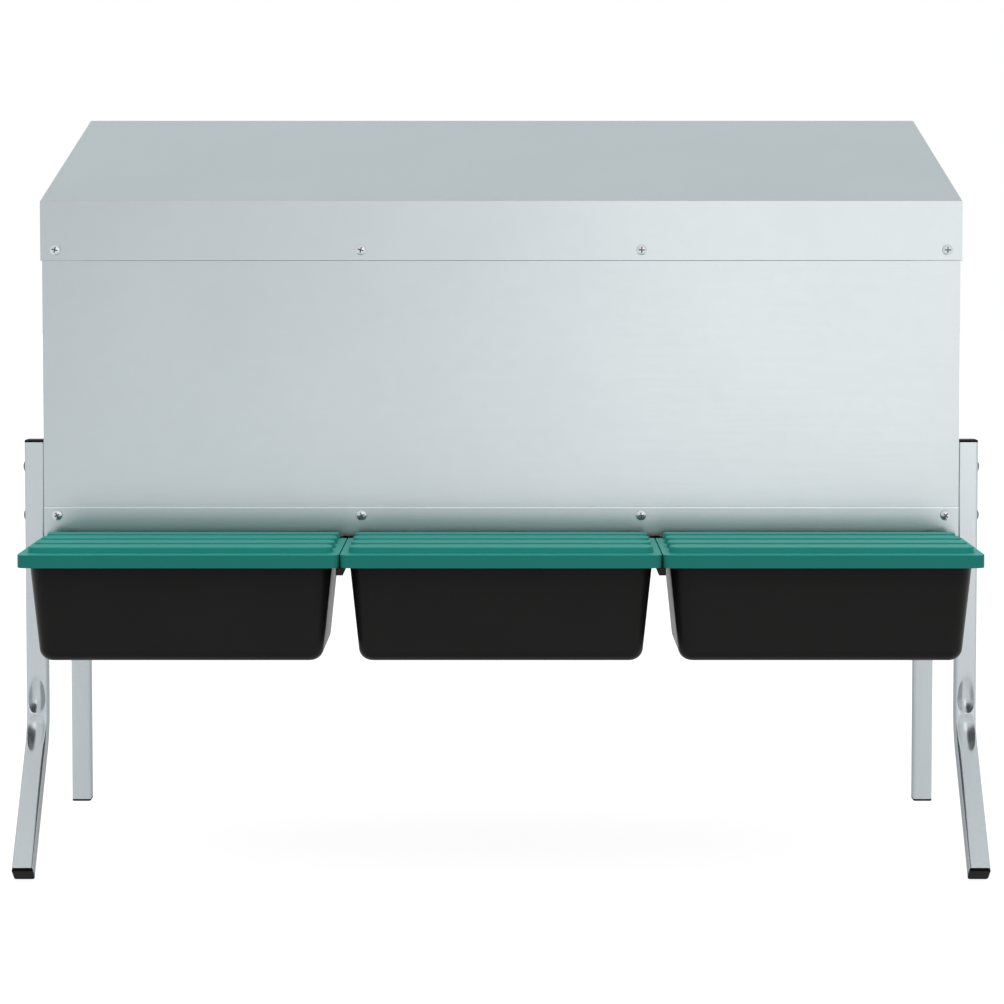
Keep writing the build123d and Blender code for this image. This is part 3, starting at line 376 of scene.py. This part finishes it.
def in_recess(tree, given, ball_height):
    """Whether a face lies under the dome, near the axis and above the seat."""
    middle = add(tree, "ShaderNodeCombineXYZ", {"Z": ball_height})
    spot = add(tree, "GeometryNodeInputPosition").outputs[0]
    reach = add(tree, "ShaderNodeVectorMath", {0: spot, 1: middle.outputs[0]}, operation="DISTANCE")
    sunk = add(tree, "ShaderNodeMath", {0: given["Ball Radius"], 1: reach.outputs["Value"]},
               operation="SUBTRACT")
    flat = add(tree, "ShaderNodeVectorMath", {0: spot, 1: (1.0, 1.0, 0.0)}, operation="MULTIPLY")
    off = add(tree, "ShaderNodeVectorMath", {0: flat.outputs[0]}, operation="LENGTH")
    height = add(tree, "ShaderNodeSeparateXYZ", {"Vector": spot})
    under = add(tree, "FunctionNodeCompare", {0: sunk.outputs[0], 1: SKIN}, data_type="FLOAT",
                operation="GREATER_THAN")
    central = add(tree, "FunctionNodeCompare", {0: off.outputs["Value"], 1: given["Recess Length"]},
                  data_type="FLOAT", operation="LESS_THAN")
    above = add(tree, "FunctionNodeCompare", {0: height.outputs["Z"], 1: SKIN}, data_type="FLOAT",
                operation="GREATER_THAN")
    both = add(tree, "FunctionNodeBooleanMath", {0: under.outputs[0], 1: central.outputs[0]},
               operation="AND")
    return add(tree, "FunctionNodeBooleanMath", {0: both.outputs[0], 1: above.outputs[0]},
               operation="AND").outputs[0]


def screw_tree():
    tree = bpy.data.node_groups.new("cross_recess_screws", "GeometryNodeTree")
    face = tree.interface
    face.new_socket("Geometry", in_out="INPUT", socket_type="NodeSocketGeometry")
    for label in ("Head Radius", "Head Height", "Ball Radius", "Shank Radius", "Shank Length",
                  "Recess Length", "Recess Width", "Recess Depth"):
        face.new_socket(label, in_out="INPUT", socket_type="NodeSocketFloat")
    face.new_socket("Seed", in_out="INPUT", socket_type="NodeSocketInt")
    for label in ("Material", "Recess Material"):
        face.new_socket(label, in_out="INPUT", socket_type="NodeSocketMaterial")
    face.new_socket("Geometry", in_out="OUTPUT", socket_type="NodeSocketGeometry")
    given = add(tree, "NodeGroupInput").outputs

    blank = add(tree, "GeometryNodeMeshCylinder", {"Vertices": HEAD_SIDES, "Radius": given["Head Radius"],
                "Depth": given["Head Height"]})
    ball = add(tree, "GeometryNodeMeshUVSphere", {"Segments": BALL_SEGMENTS, "Rings": BALL_RINGS,
               "Radius": given["Ball Radius"]})
    shank = add(tree, "GeometryNodeMeshCylinder", {"Vertices": SHANK_SIDES, "Radius": given["Shank Radius"],
                "Depth": given["Shank Length"]})
    deep = add(tree, "ShaderNodeMath", {0: given["Recess Depth"], 1: 2.0}, operation="MULTIPLY")
    bars = []
    for across, along in (("Recess Length", "Recess Width"), ("Recess Width", "Recess Length")):
        size = add(tree, "ShaderNodeCombineXYZ", {"X": given[across], "Y": given[along],
                   "Z": deep.outputs[0]})
        bars.append(add(tree, "GeometryNodeMeshCube", {"Size": size.outputs[0]}))
    half_head = add(tree, "ShaderNodeMath", {0: given["Head Height"], 1: 0.5}, operation="MULTIPLY")
    ball_lift = add(tree, "ShaderNodeMath", {0: given["Head Height"], 1: given["Ball Radius"]},
                    operation="SUBTRACT")
    shank_drop = add(tree, "ShaderNodeMath", {0: given["Shank Length"], 1: -0.5}, operation="MULTIPLY")
    lifts = [half_head.outputs[0], ball_lift.outputs[0], shank_drop.outputs[0], given["Head Height"],
             given["Head Height"]]
    placed = []
    for shape, lift in zip([blank, ball, shank, *bars], lifts):
        up = add(tree, "ShaderNodeCombineXYZ", {"Z": lift})
        placed.append(add(tree, "GeometryNodeTransform", {"Geometry": shape.outputs["Mesh"],
                          "Translation": up.outputs[0]}).outputs[0])
    dome = add(tree, "GeometryNodeMeshBoolean", {"Mesh 2": placed[:2]}, operation="INTERSECT",
               solver="EXACT")
    cut = add(tree, "GeometryNodeMeshBoolean", {"Mesh 1": dome.outputs["Mesh"], "Mesh 2": placed[3:]},
              operation="DIFFERENCE", solver="EXACT")
    inside = in_recess(tree, given, ball_lift.outputs[0])
    marked = add(tree, "GeometryNodeStoreNamedAttribute", {"Geometry": cut.outputs["Mesh"],
                 "Name": "recess", "Value": inside}, data_type="BOOLEAN", domain="FACE")
    screw = add(tree, "GeometryNodeJoinGeometry", {"Geometry": [marked.outputs[0], placed[2]]})
    axis = add(tree, "GeometryNodeInputNamedAttribute", {"Name": "axis"}, data_type="FLOAT_VECTOR")
    spin = add(tree, "FunctionNodeRandomValue", {"Seed": given["Seed"]}, data_type="FLOAT")
    spin.inputs[2].default_value = 0.0
    spin.inputs[3].default_value = math.pi / 2
    turn = add(tree, "FunctionNodeAxisAngleToRotation", {"Axis": (0.0, 0.0, 1.0), "Angle": spin.outputs[1]})
    aim = add(tree, "FunctionNodeAlignRotationToVector", {"Rotation": turn.outputs[0],
              "Vector": axis.outputs["Attribute"]}, axis="Z")
    seats = add(tree, "GeometryNodeMeshToPoints", {"Mesh": given["Geometry"]})
    row = add(tree, "GeometryNodeInstanceOnPoints", {"Points": seats.outputs[0],
              "Instance": screw.outputs[0], "Rotation": aim.outputs[0]})
    real = add(tree, "GeometryNodeRealizeInstances", {"Geometry": row.outputs[0]})
    plated = add(tree, "GeometryNodeSetMaterial", {"Geometry": real.outputs[0],
                 "Material": given["Material"]})
    # The recess faces take the darker zinc, a painted shade.
    recess = add(tree, "GeometryNodeInputNamedAttribute", {"Name": "recess"}, data_type="BOOLEAN")
    done = add(tree, "GeometryNodeSetMaterial", {"Geometry": plated.outputs[0],
               "Selection": recess.outputs["Attribute"], "Material": given["Recess Material"]})
    add(tree, "NodeGroupOutput", {"Geometry": done.outputs[0]})
    return tree


TREE = screw_tree()
print("screw tree:", len(TREE.nodes), "nodes")

# %% [markdown]
# ### From a tree to a plain mesh
# A geometry tree hangs on an object as a modifier. Its inputs are set first, then the result is taken out
# as a plain mesh and the object with the modifier is removed, so that no piece depends on a tree.

# %% Helpers for trees
def new_object(name, mesh):
    made = bpy.data.objects.new(name, mesh)
    bpy.context.scene.collection.objects.link(made)
    return made


def set_input(modifier, label, value):
    """A modifier's input is set by its socket's identifier, which the tree's interface knows."""
    sockets = modifier.node_group.interface.items_tree
    modifier[next(s.identifier for s in sockets if s.name == label and s.in_out == "INPUT")] = value


def made_plain(holder, smooth_below):
    """The evaluated result as a plain mesh, with edges sharper than the angle kept crisp."""
    depsgraph = bpy.context.evaluated_depsgraph_get()
    mesh = bpy.data.meshes.new_from_object(holder.evaluated_get(depsgraph), depsgraph=depsgraph)
    name = holder.name
    bpy.data.objects.remove(holder)
    mesh.name = name
    mesh.shade_smooth()
    mesh.set_sharp_from_angle(angle=math.radians(smooth_below))
    return new_object(name, mesh)


# %% [markdown]
# ### The rows of screws
# The recess is about half as wide as the head. The shank's radius is not in the islands' boxes, so it
# is the real one: an M4, M5 or M6 thread by the size of the head. The bolts through the legs get a darker,
# duller zinc: painted shade for the dark surroundings that their heads mirror.

# %% Make the screws
SHANK_BY_HEAD = {4.0: 1.9, 5.0: 2.4, 6.0: 3.0}   # radii in mm
HEAD_EDGE_SHARE = 0.4       # of the head's height; the rest is the dome
RECESS_LENGTH, RECESS_WIDTH = 1.15, 0.24         # as shares of the head's radius
RECESS_DEPTH = 0.6          # as a share of the head's height
SCREW_SMOOTH = 35           # degrees
# Painted shade: the leg bolts get a darker zinc that stands in for the dark surroundings they mirror.
BOLT_PAINTED_SHADE = plated_steel("zinc_plated_bolt_painted_shade", "#6c7277", "#848a8f", 0.3, 0.42)
# Painted shade: a darker zinc for the recess faces, where light hardly gets in.
RECESS_PAINTED_SHADE = plated_steel("zinc_recess_painted_shade", "#4a4e52", "#5d6266", 0.4, 0.55)

for seed, (name, spots) in enumerate(SPOTS.items()):
    by_kind = {}
    for spot in spots:
        by_kind.setdefault((round(spot["radius"] / MM, 1), round(spot["shank"] / MM, 1)), []).append(spot)
    pieces = []
    for (radius, shank), group in by_kind.items():
        seats = bpy.data.meshes.new(name)
        seats.from_pydata([spot["seat"] for spot in group], [], [])
        axes = seats.attributes.new("axis", "FLOAT_VECTOR", "POINT")
        for index, spot in enumerate(group):
            axes.data[index].vector = spot["axis"]
        holder = new_object(f"{name}_{shank}_seats", seats)
        modifier = holder.modifiers.new("screws", "NODES")
        modifier.node_group = TREE
        head = group[0]["head"]
        dome = head * (1 - HEAD_EDGE_SHARE)
        sizes = {
            "Head Radius": radius * MM, "Head Height": head,
            "Ball Radius": ((radius * MM) ** 2 + dome ** 2) / (2 * dome),
            "Shank Radius": SHANK_BY_HEAD[radius] * MM, "Shank Length": shank * MM,
            "Recess Length": radius * RECESS_LENGTH * MM, "Recess Width": radius * RECESS_WIDTH * MM,
            "Recess Depth": head * RECESS_DEPTH,
        }
        for label, value in sizes.items():
            set_input(modifier, label, value)
        set_input(modifier, "Seed", seed)
        set_input(modifier, "Material", BOLT_PAINTED_SHADE if name == "leg_screws" else FINISH["zinc_screw"])
        set_input(modifier, "Recess Material", RECESS_PAINTED_SHADE)
        pieces.append(made_plain(holder, SCREW_SMOOTH))
    row = pieces[0]
    for extra in pieces[1:]:
        joined = bmesh.new()
        joined.from_mesh(row.data)
        joined.from_mesh(extra.data)
        joined.to_mesh(row.data)
        joined.free()
        bpy.data.objects.remove(extra)
    row.name = f"{name}_recessed"
    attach(row, SCREW_NODES[name])
    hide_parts(name)
    print(row.name, len(row.data.polygons), "faces")

# %% [markdown]
# ## The bent rear legs
# A square tube that is bent without a mandrel gives way on the inside of the bend: here its face has two
# scooped dents with a sharp ridge left between them. CAD has the dents as plain cuts. For the eye they
# need soft rims and a fine mesh, because the zinc shows the black trays in them. A geometry tree sweeps
# the tube along its path, with rings 1 mm apart near the dents, and a formula then presses them in.

# %% The path of a leg
BEND_Z = 129.6 * MM         # where the two centre lines meet
TILT = math.radians(37.3)
BEND_R = 65.0 * MM
TUBE_WALL = 1.2 * MM
TUBE_CORNER = 2.5 * MM
COARSE_STEP = 20 * MM
FINE_STEP = 1.0 * MM
FINE_ABOVE = 36 * MM        # along the path, before the bend starts
FINE_BELOW = 30 * MM        # after it ends


def leg_sizes(node_name):
    """Centre X and Y of the upright, half the tube, and both ends of the path, from the node's box."""
    low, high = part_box(node_name)
    half = (high[0] - low[0]) / 2
    y = high[1] - half
    end_z = low[2] + half * math.sin(TILT)
    return (low[0] + high[0]) / 2, y, half, high[2], end_z


def leg_path(node_name):
    """Points down the middle of the tube: an upright, an arc, and a straight foot."""
    x, y, half, top_z, end_z = leg_sizes(node_name)
    tangent = BEND_R * math.tan(TILT / 2)
    upright = top_z - BEND_Z - tangent
    foot = (BEND_Z - end_z) / math.cos(TILT) - tangent
    arc = BEND_R * TILT
    stations = [-upright]
    while stations[-1] < arc + foot - FINE_STEP:
        fine = -FINE_ABOVE <= stations[-1] < arc + FINE_BELOW
        edge = arc + foot if stations[-1] >= 0 else -FINE_ABOVE
        gap = FINE_STEP if fine else min(COARSE_STEP, max(FINE_STEP, edge - stations[-1]))
        stations.append(min(stations[-1] + gap, arc + foot))
    points = []
    for s in stations:
        turn = min(max(s, 0.0), arc) / BEND_R
        past = max(s - arc, 0.0)
        drop = BEND_R * math.sin(turn) + past * math.cos(TILT) + min(s, 0.0)
        out = BEND_R * (1 - math.cos(turn)) + past * math.sin(TILT)
        points.append((x, y - out, BEND_Z + tangent - drop))
    return points


# %% [markdown]
# ### The tube
# A square with rounded corners is carried along the path. Its points are spread evenly, so that the flat
# sides have enough of them for the dents.

# %% Tube tree
CORNER_POINTS = 8


def tube_tree():
    tree = bpy.data.node_groups.new("square_tube_along_path", "GeometryNodeTree")
    face = tree.interface
    face.new_socket("Geometry", in_out="INPUT", socket_type="NodeSocketGeometry")
    for label in ("Width", "Corner"):
        face.new_socket(label, in_out="INPUT", socket_type="NodeSocketFloat")
    face.new_socket("Points Around", in_out="INPUT", socket_type="NodeSocketInt")
    face.new_socket("Material", in_out="INPUT", socket_type="NodeSocketMaterial")
    face.new_socket("Geometry", in_out="OUTPUT", socket_type="NodeSocketGeometry")
    given = add(tree, "NodeGroupInput").outputs
    path = add(tree, "GeometryNodeMeshToCurve", {"Mesh": given["Geometry"]})
    upright = add(tree, "GeometryNodeSetCurveNormal", {"Curve": path.outputs[0], "Normal": (1.0, 0.0, 0.0)},
                  mode="FREE")
    square = add(tree, "GeometryNodeCurvePrimitiveQuadrilateral", {"Width": given["Width"],
                 "Height": given["Width"]}, mode="RECTANGLE")
    rounded = add(tree, "GeometryNodeFilletCurve", {"Curve": square.outputs[0], "Count": CORNER_POINTS,
                  "Radius": given["Corner"]}, mode="POLY")
    section = add(tree, "GeometryNodeResampleCurve", {"Curve": rounded.outputs[0],
                  "Count": given["Points Around"]}, mode="COUNT")
    swept = add(tree, "GeometryNodeCurveToMesh", {"Curve": upright.outputs[0],
                "Profile Curve": section.outputs[0], "Fill Caps": False})
    real = add(tree, "GeometryNodeRealizeInstances", {"Geometry": swept.outputs[0]})
    done = add(tree, "GeometryNodeSetMaterial", {"Geometry": real.outputs[0], "Material": given["Material"]})
    add(tree, "NodeGroupOutput", {"Geometry": done.outputs[0]})
    return tree


TUBE_TREE = tube_tree()
print("tube tree:", len(TUBE_TREE.nodes), "nodes")

# %% [markdown]
# ### The dents
# The inside face is unrolled to a flat strip, on which each dent is a bowl, longer than wide. A point of
# the face moves in until it lies on that bowl. The soft maximum lets the rim run out smoothly, while two
# dents still meet in a ridge. The wall's thickness comes last, from a Solidify modifier.

# %% Press the dents and make the legs
# each dent: its place down from the bend's start, half width, length above and below it, and depth, in mm
DENTS = ((-9.0, 8.8, 24.0, 14.0, 7.0), (16.0, 9.2, 12.5, 27.0, 5.0))
RIM_SOFTNESS = 1.0 * MM
DENT_REACH = 1.5            # how far past its rim a dent still draws the face in


def unrolled(point, hub, inner):
    """Across the inside face, down along it from the bend's start, in from it, and the way in."""
    offset = point - hub
    turn = min(max(math.atan2(-offset.z, offset.y), 0.0), TILT)
    inward = Vector((0, math.cos(turn), -math.sin(turn)))
    down = Vector((0, -math.sin(turn), -math.cos(turn)))
    return offset.x, inner * turn + offset.dot(down), offset.dot(inward) - inner, inward


def press_dents(shape, node_name):
    x, y, half = leg_sizes(node_name)[:3]
    hub = Vector((x, y - BEND_R, BEND_Z + BEND_R * math.tan(TILT / 2)))
    for place, half_width, above, below, depth in DENTS:
        for vert in shape.verts:
            across, along, level, inward = unrolled(vert.co, hub, BEND_R - half)
            length = above if along < place * MM else below
            away = math.hypot(across / (half_width * MM), (along - place * MM) / (length * MM))
            if away > DENT_REACH:
                continue
            push = depth * MM * (1 - away ** 2) - level
            vert.co += inward * (push + math.hypot(push, RIM_SOFTNESS)) / 2


POINTS_AROUND = 112
TUBE_SMOOTH = 40            # degrees
for node_name in ("left_rear_leg", "right_rear_leg"):
    points = leg_path(node_name)
    path = bpy.data.meshes.new(node_name)
    path.from_pydata(points, [(i, i + 1) for i in range(len(points) - 1)], [])
    holder = new_object(f"{node_name}_path", path)
    modifier = holder.modifiers.new("tube", "NODES")
    modifier.node_group = TUBE_TREE
    x, y, half = leg_sizes(node_name)[:3]
    sizes = {"Width": half * 2, "Corner": TUBE_CORNER, "Points Around": POINTS_AROUND,
             "Material": FINISH["zinc_tube"]}
    for label, value in sizes.items():
        set_input(modifier, label, value)
    leg = made_plain(holder, TUBE_SMOOTH)
    shape = bmesh.new()
    shape.from_mesh(leg.data)
    bmesh.ops.remove_doubles(shape, verts=shape.verts, dist=MERGE)
    bmesh.ops.recalc_face_normals(shape, faces=shape.faces)
    top_face = max(shape.faces, key=lambda f: f.calc_center_median().z)
    spot = top_face.calc_center_median()
    if top_face.normal.dot(spot - Vector((x, y, spot.z))) < 0:
        bmesh.ops.reverse_faces(shape, faces=shape.faces)
    press_dents(shape, node_name)
    shape.to_mesh(leg.data)
    shape.free()
    wall = leg.modifiers.new("wall", "SOLIDIFY")
    wall.thickness = TUBE_WALL
    wall.offset = -1.0
    leg = made_plain(leg, TUBE_SMOOTH)
    leg.name = f"{node_name}_dented"
    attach(leg, "housing")
    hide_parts(node_name)
    print(leg.name, len(points), "rings,", len(leg.data.polygons), "faces")

# %% [markdown]
# ## End flanges of the tray rails
# Beside each partition there is a gap between the nest pan and the sheet, and it looks black.
# So each rail gets a small upright black flange there, moulded on, which stands in for the shade in that
# gap.
# The rail's own mesh is copied and merged, and a bevelled plate is added to it.

# %% Rails with flanges
FLANGE_WIDE = 12.4 * MM     # from the partition towards the nest pan, which starts at 14 mm
FLANGE_THICK = 2.0 * MM
FLANGE_BEHIND = 4.6 * MM    # its front face, behind the rail's wall face
FLANGE_LOW = 300.5 * MM
FLANGE_HIGH = 331.0 * MM
FLANGE_ROUND = 0.6 * MM
FLANGE_ROUND_STEPS = 2
MOULDING_SMOOTH = 30        # degrees
SHEET_HALF = 0.6 * MM       # the partition beside it, with its fit


def from_shape(shape, name, smooth_below, material):
    """An object from a changed copy of a CAD mesh, whose stored normals no longer fit and are dropped."""
    mesh = bpy.data.meshes.new(name)
    shape.to_mesh(mesh)
    shape.free()
    stored = mesh.attributes.get("custom_normal")
    if stored:
        mesh.attributes.remove(stored)
    mesh.shade_smooth()
    mesh.set_sharp_from_angle(angle=math.radians(smooth_below))
    mesh.materials.append(material)
    return new_object(name, mesh)


for side, way in (("left", -1), ("right", 1)):
    node_name = f"{side}_tray_rail"
    shape = merged_copy(node_name)
    low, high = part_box(node_name)
    partition_x = (low[0] + high[0]) / 2
    front_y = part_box("rear_rail")[0][1] + FLANGE_BEHIND
    # The plate is black rail plastic, a dark piece put where there is only shade.
    plate = bmesh.ops.create_cube(shape, size=1.0)["verts"]
    near, far = partition_x + way * SHEET_HALF, partition_x + way * (SHEET_HALF + FLANGE_WIDE)
    for vert in plate:
        vert.co.x = far if vert.co.x * way > 0 else near
        vert.co.y = front_y + (FLANGE_THICK if vert.co.y > 0 else 0.0)
        vert.co.z = FLANGE_HIGH if vert.co.z > 0 else FLANGE_LOW
    edges = list({edge for vert in plate for edge in vert.link_edges})
    bmesh.ops.bevel(shape, geom=edges, offset=FLANGE_ROUND, segments=FLANGE_ROUND_STEPS, profile=0.5,
                    affect="EDGES")
    rail = from_shape(shape, f"{node_name}_shade_flanged", MOULDING_SMOOTH, FINISH["black_rail_plastic"])
    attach(rail, "housing")
    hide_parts(node_name)
    print(rail.name, len(rail.data.polygons), "faces")

# %% [markdown]
# ## Lids with steep ribs
# Each lid is one moulding with four cross ribs. CAD draws their flanks leaning 30 degrees, while in the
# photograph they look almost as dark as the lid's upright front, so they must be steep. The lid's own mesh
# is copied and merged, and every point of a rib is moved outward in proportion to its height, until the
# flanks lean 10 degrees. The rear flank of the first rib stays, because it has to clear the rails.

# %% Steepen the ribs
LID_DEPTH = 162.0 * MM      # from the wall to the lid's front edge
RIB_FIRST = 26.0 * MM       # the first rib's middle, from the wall
RIB_PITCH = 36.0 * MM
RIB_COUNT = 4
RIB_RISE = 5.8 * MM
RIB_END = 16.6 * MM         # from the lid's side to the middle of a rib's round end
RIB_FLAT = 2.8 * MM         # half of the straight part of that end
LID_SKIN = 2.2 * MM
RIB_FOOT = 0.05 * MM        # points lower than this over the rib's foot stay
RIB_CORE = 1.0 * MM         # and so do points nearer than this to its middle line
LEAN_CAD, LEAN = math.radians(30), math.radians(10)
SPREAD = RIB_RISE * (math.tan(LEAN_CAD) - math.tan(LEAN))

for side in ("left", "middle", "right"):
    node_name = f"tray_lid_{side}"
    low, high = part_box(node_name)
    ribs_y = [low[1] + LID_DEPTH - RIB_FIRST - index * RIB_PITCH for index in range(RIB_COUNT)]
    middle_x, reach_x = (low[0] + high[0]) / 2, (high[0] - low[0]) / 2 - RIB_END
    shape = merged_copy(node_name)
    shape.normal_update()
    moves = []
    for vert in shape.verts:
        base = high[2] - RIB_RISE - (0.0 if vert.normal.z > 0 else LID_SKIN)
        rib_y = min(ribs_y, key=lambda y: abs(y - vert.co.y))
        core = Vector((min(max(vert.co.x, middle_x - reach_x), middle_x + reach_x),
                       min(max(vert.co.y, rib_y - RIB_FLAT), rib_y + RIB_FLAT), vert.co.z))
        outward = vert.co - core
        rear_flank = rib_y == ribs_y[0] and outward.y > 0
        if vert.co.z > base + RIB_FOOT and outward.length > RIB_CORE and not rear_flank:
            share = min((vert.co.z - base) / RIB_RISE, 1.0)
            moves.append((vert, outward.normalized() * SPREAD * share))
    for vert, step in moves:
        vert.co += step
    lid = from_shape(shape, f"{node_name}_ribbed", MOULDING_SMOOTH, FINISH["green_lid_plastic"])
    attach(lid, f"lid_{side}")
    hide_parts(node_name)
    print(lid.name, len(moves), "of", len(lid.data.vertices), "points moved")

# %% [markdown]
# ## Studio
# The photograph is a cut-out on white, so the floor and the world show plain white to the camera and to
# reflections. The floor still takes some light, so the object's shadow stays on it.

# %% Floor and world
FLOOR_REACH = 12.0          # metres
FLOOR_SHADOW = 0.14         # how much of the light on the floor shows
FLOOR_GLOW = 0.92           # and how bright it is without any
SKY_FROM = 0.35             # sine of the height from which the sky grows brighter
SKY_LOW, SKY_HIGH = 0.25, 3.4


def seen_directly(tree):
    """1 for what the camera sees, straight or mirrored, and 0 for the light that matt things get."""
    rays = add(tree, "ShaderNodeLightPath").outputs
    direct = add(tree, "ShaderNodeMath", {0: rays["Is Camera Ray"], 1: rays["Is Glossy Ray"]},
                 operation="MAXIMUM")
    return add(tree, "ShaderNodeMath", {0: direct.outputs[0], 1: rays["Is Transmission Ray"]},
               operation="MAXIMUM").outputs[0]


def studio_floor():
    material = bpy.data.materials.new("studio_floor")
    material.use_nodes = True
    tree = material.node_tree
    tree.nodes.clear()
    lit = add(tree, "ShaderNodeBsdfDiffuse", {"Color": linear("#7c7c7c")})
    faint = add(tree, "ShaderNodeBsdfDiffuse", {"Color": (FLOOR_SHADOW, FLOOR_SHADOW, FLOOR_SHADOW, 1.0)})
    white = add(tree, "ShaderNodeEmission", {"Color": (1.0, 1.0, 1.0, 1.0), "Strength": FLOOR_GLOW})
    shown = add(tree, "ShaderNodeAddShader", {0: faint.outputs[0], 1: white.outputs[0]})
    pick = add(tree, "ShaderNodeMixShader", {0: seen_directly(tree), 1: lit.outputs[0],
               2: shown.outputs[0]})
    add(tree, "ShaderNodeOutputMaterial", {"Surface": pick.outputs[0]})
    mesh = bpy.data.meshes.new("floor")
    corners = [(x * FLOOR_REACH, y * FLOOR_REACH, 0) for x, y in ((-1, -1), (1, -1), (1, 1), (-1, 1))]
    mesh.from_pydata(corners, [], [(0, 1, 2, 3)])
    mesh.materials.append(material)
    floor = new_object("floor", mesh)


def studio_world():
    world = bpy.data.worlds.new("studio")
    bpy.context.scene.world = world
    world.use_nodes = True
    tree = world.node_tree
    tree.nodes.clear()
    way = add(tree, "ShaderNodeTexCoord").outputs["Generated"]
    height = add(tree, "ShaderNodeSeparateXYZ", {"Vector": way})
    fill = add(tree, "ShaderNodeMapRange", {"Value": height.outputs["Z"], "From Min": SKY_FROM,
               "To Min": SKY_LOW, "To Max": SKY_HIGH})
    strength = add(tree, "ShaderNodeMapRange", {"Value": seen_directly(tree),
                   "To Min": fill.outputs["Result"], "To Max": 1.0})
    sky = add(tree, "ShaderNodeBackground", {"Color": (1.0, 1.0, 1.0, 1.0),
              "Strength": strength.outputs["Result"]})
    add(tree, "ShaderNodeOutputWorld", {"Surface": sky.outputs[0]})


studio_floor()
studio_world()

# %% [markdown]
# ### Soft boxes
# Four soft boxes stand side by side before the object, bright on the right and dim on the left. The wall
# mirrors them as a blur, so it grows brighter to the right as well. The brighter ones are a little warm,
# which keeps the zinc from looking blue there.

# %% Lamps
BOX_EDGES = (-0.85, -0.25, 0.2, 0.6, 2.4)        # along X, in metres
BOX_LOW, BOX_HIGH, BOX_PLACE = 0.05, 2.45, -3.0  # from Z to Z, and where they stand along Y
BOX_BRIGHTNESS = (0.16, 0.43, 0.82, 0.78)
BOX_COLOUR = ((1.0, 1.0, 1.0), (1.0, 0.88, 0.88), (1.0, 0.94, 0.9), (1.0, 0.92, 0.86))


def soft_box(name, left, right, brightness, colour):
    """An upright lamp that faces the wall; brightness is how bright a mirror would show it."""
    data = bpy.data.lights.new(name, "AREA")
    data.shape = "RECTANGLE"
    data.size = right - left
    data.size_y = BOX_HIGH - BOX_LOW
    data.energy = brightness * math.pi * data.size * data.size_y
    data.color = colour
    lamp = bpy.data.objects.new(name, data)
    bpy.context.scene.collection.objects.link(lamp)
    lamp.location = ((left + right) / 2, BOX_PLACE, (BOX_LOW + BOX_HIGH) / 2)
    lamp.rotation_euler = (math.radians(90), 0, 0)


for step, (brightness, colour) in enumerate(zip(BOX_BRIGHTNESS, BOX_COLOUR)):
    left, right = BOX_EDGES[step:step + 2]
    soft_box(f"soft_box_{step + 1}", left, right, brightness, colour)
print("soft boxes:", len(BOX_BRIGHTNESS))

# %% [markdown]
# ## Camera
# The photograph looks straight at the egg side from 2.7 m with a long lens. Its verticals stay upright,
# which a shift lens does. Half of that drop is made with the shift and half by tilting the camera
# 3 degrees, so that the other views, which keep the shift, still hold the whole box.

# %% Camera
CAMERA_PLACE = (0.0072, -2.8448, 0.6403)
CAMERA_DOWN = 3.0           # degrees
LENS_MM = 98.88
SENSOR_MM = 36.0
LENS_SHIFT = (-0.0066, -0.1421)

camera_data = bpy.data.cameras.new("camera")
camera_data.lens = LENS_MM
camera_data.sensor_width = SENSOR_MM
camera_data.shift_x, camera_data.shift_y = LENS_SHIFT
camera = bpy.data.objects.new("camera", camera_data)
bpy.context.scene.collection.objects.link(camera)
camera.location = CAMERA_PLACE
camera.rotation_euler = (math.radians(90 - CAMERA_DOWN), 0, 0)
bpy.context.scene.camera = camera
bpy.context.scene.view_settings.view_transform = "Standard"
print("camera:", camera.name, LENS_MM, "mm")
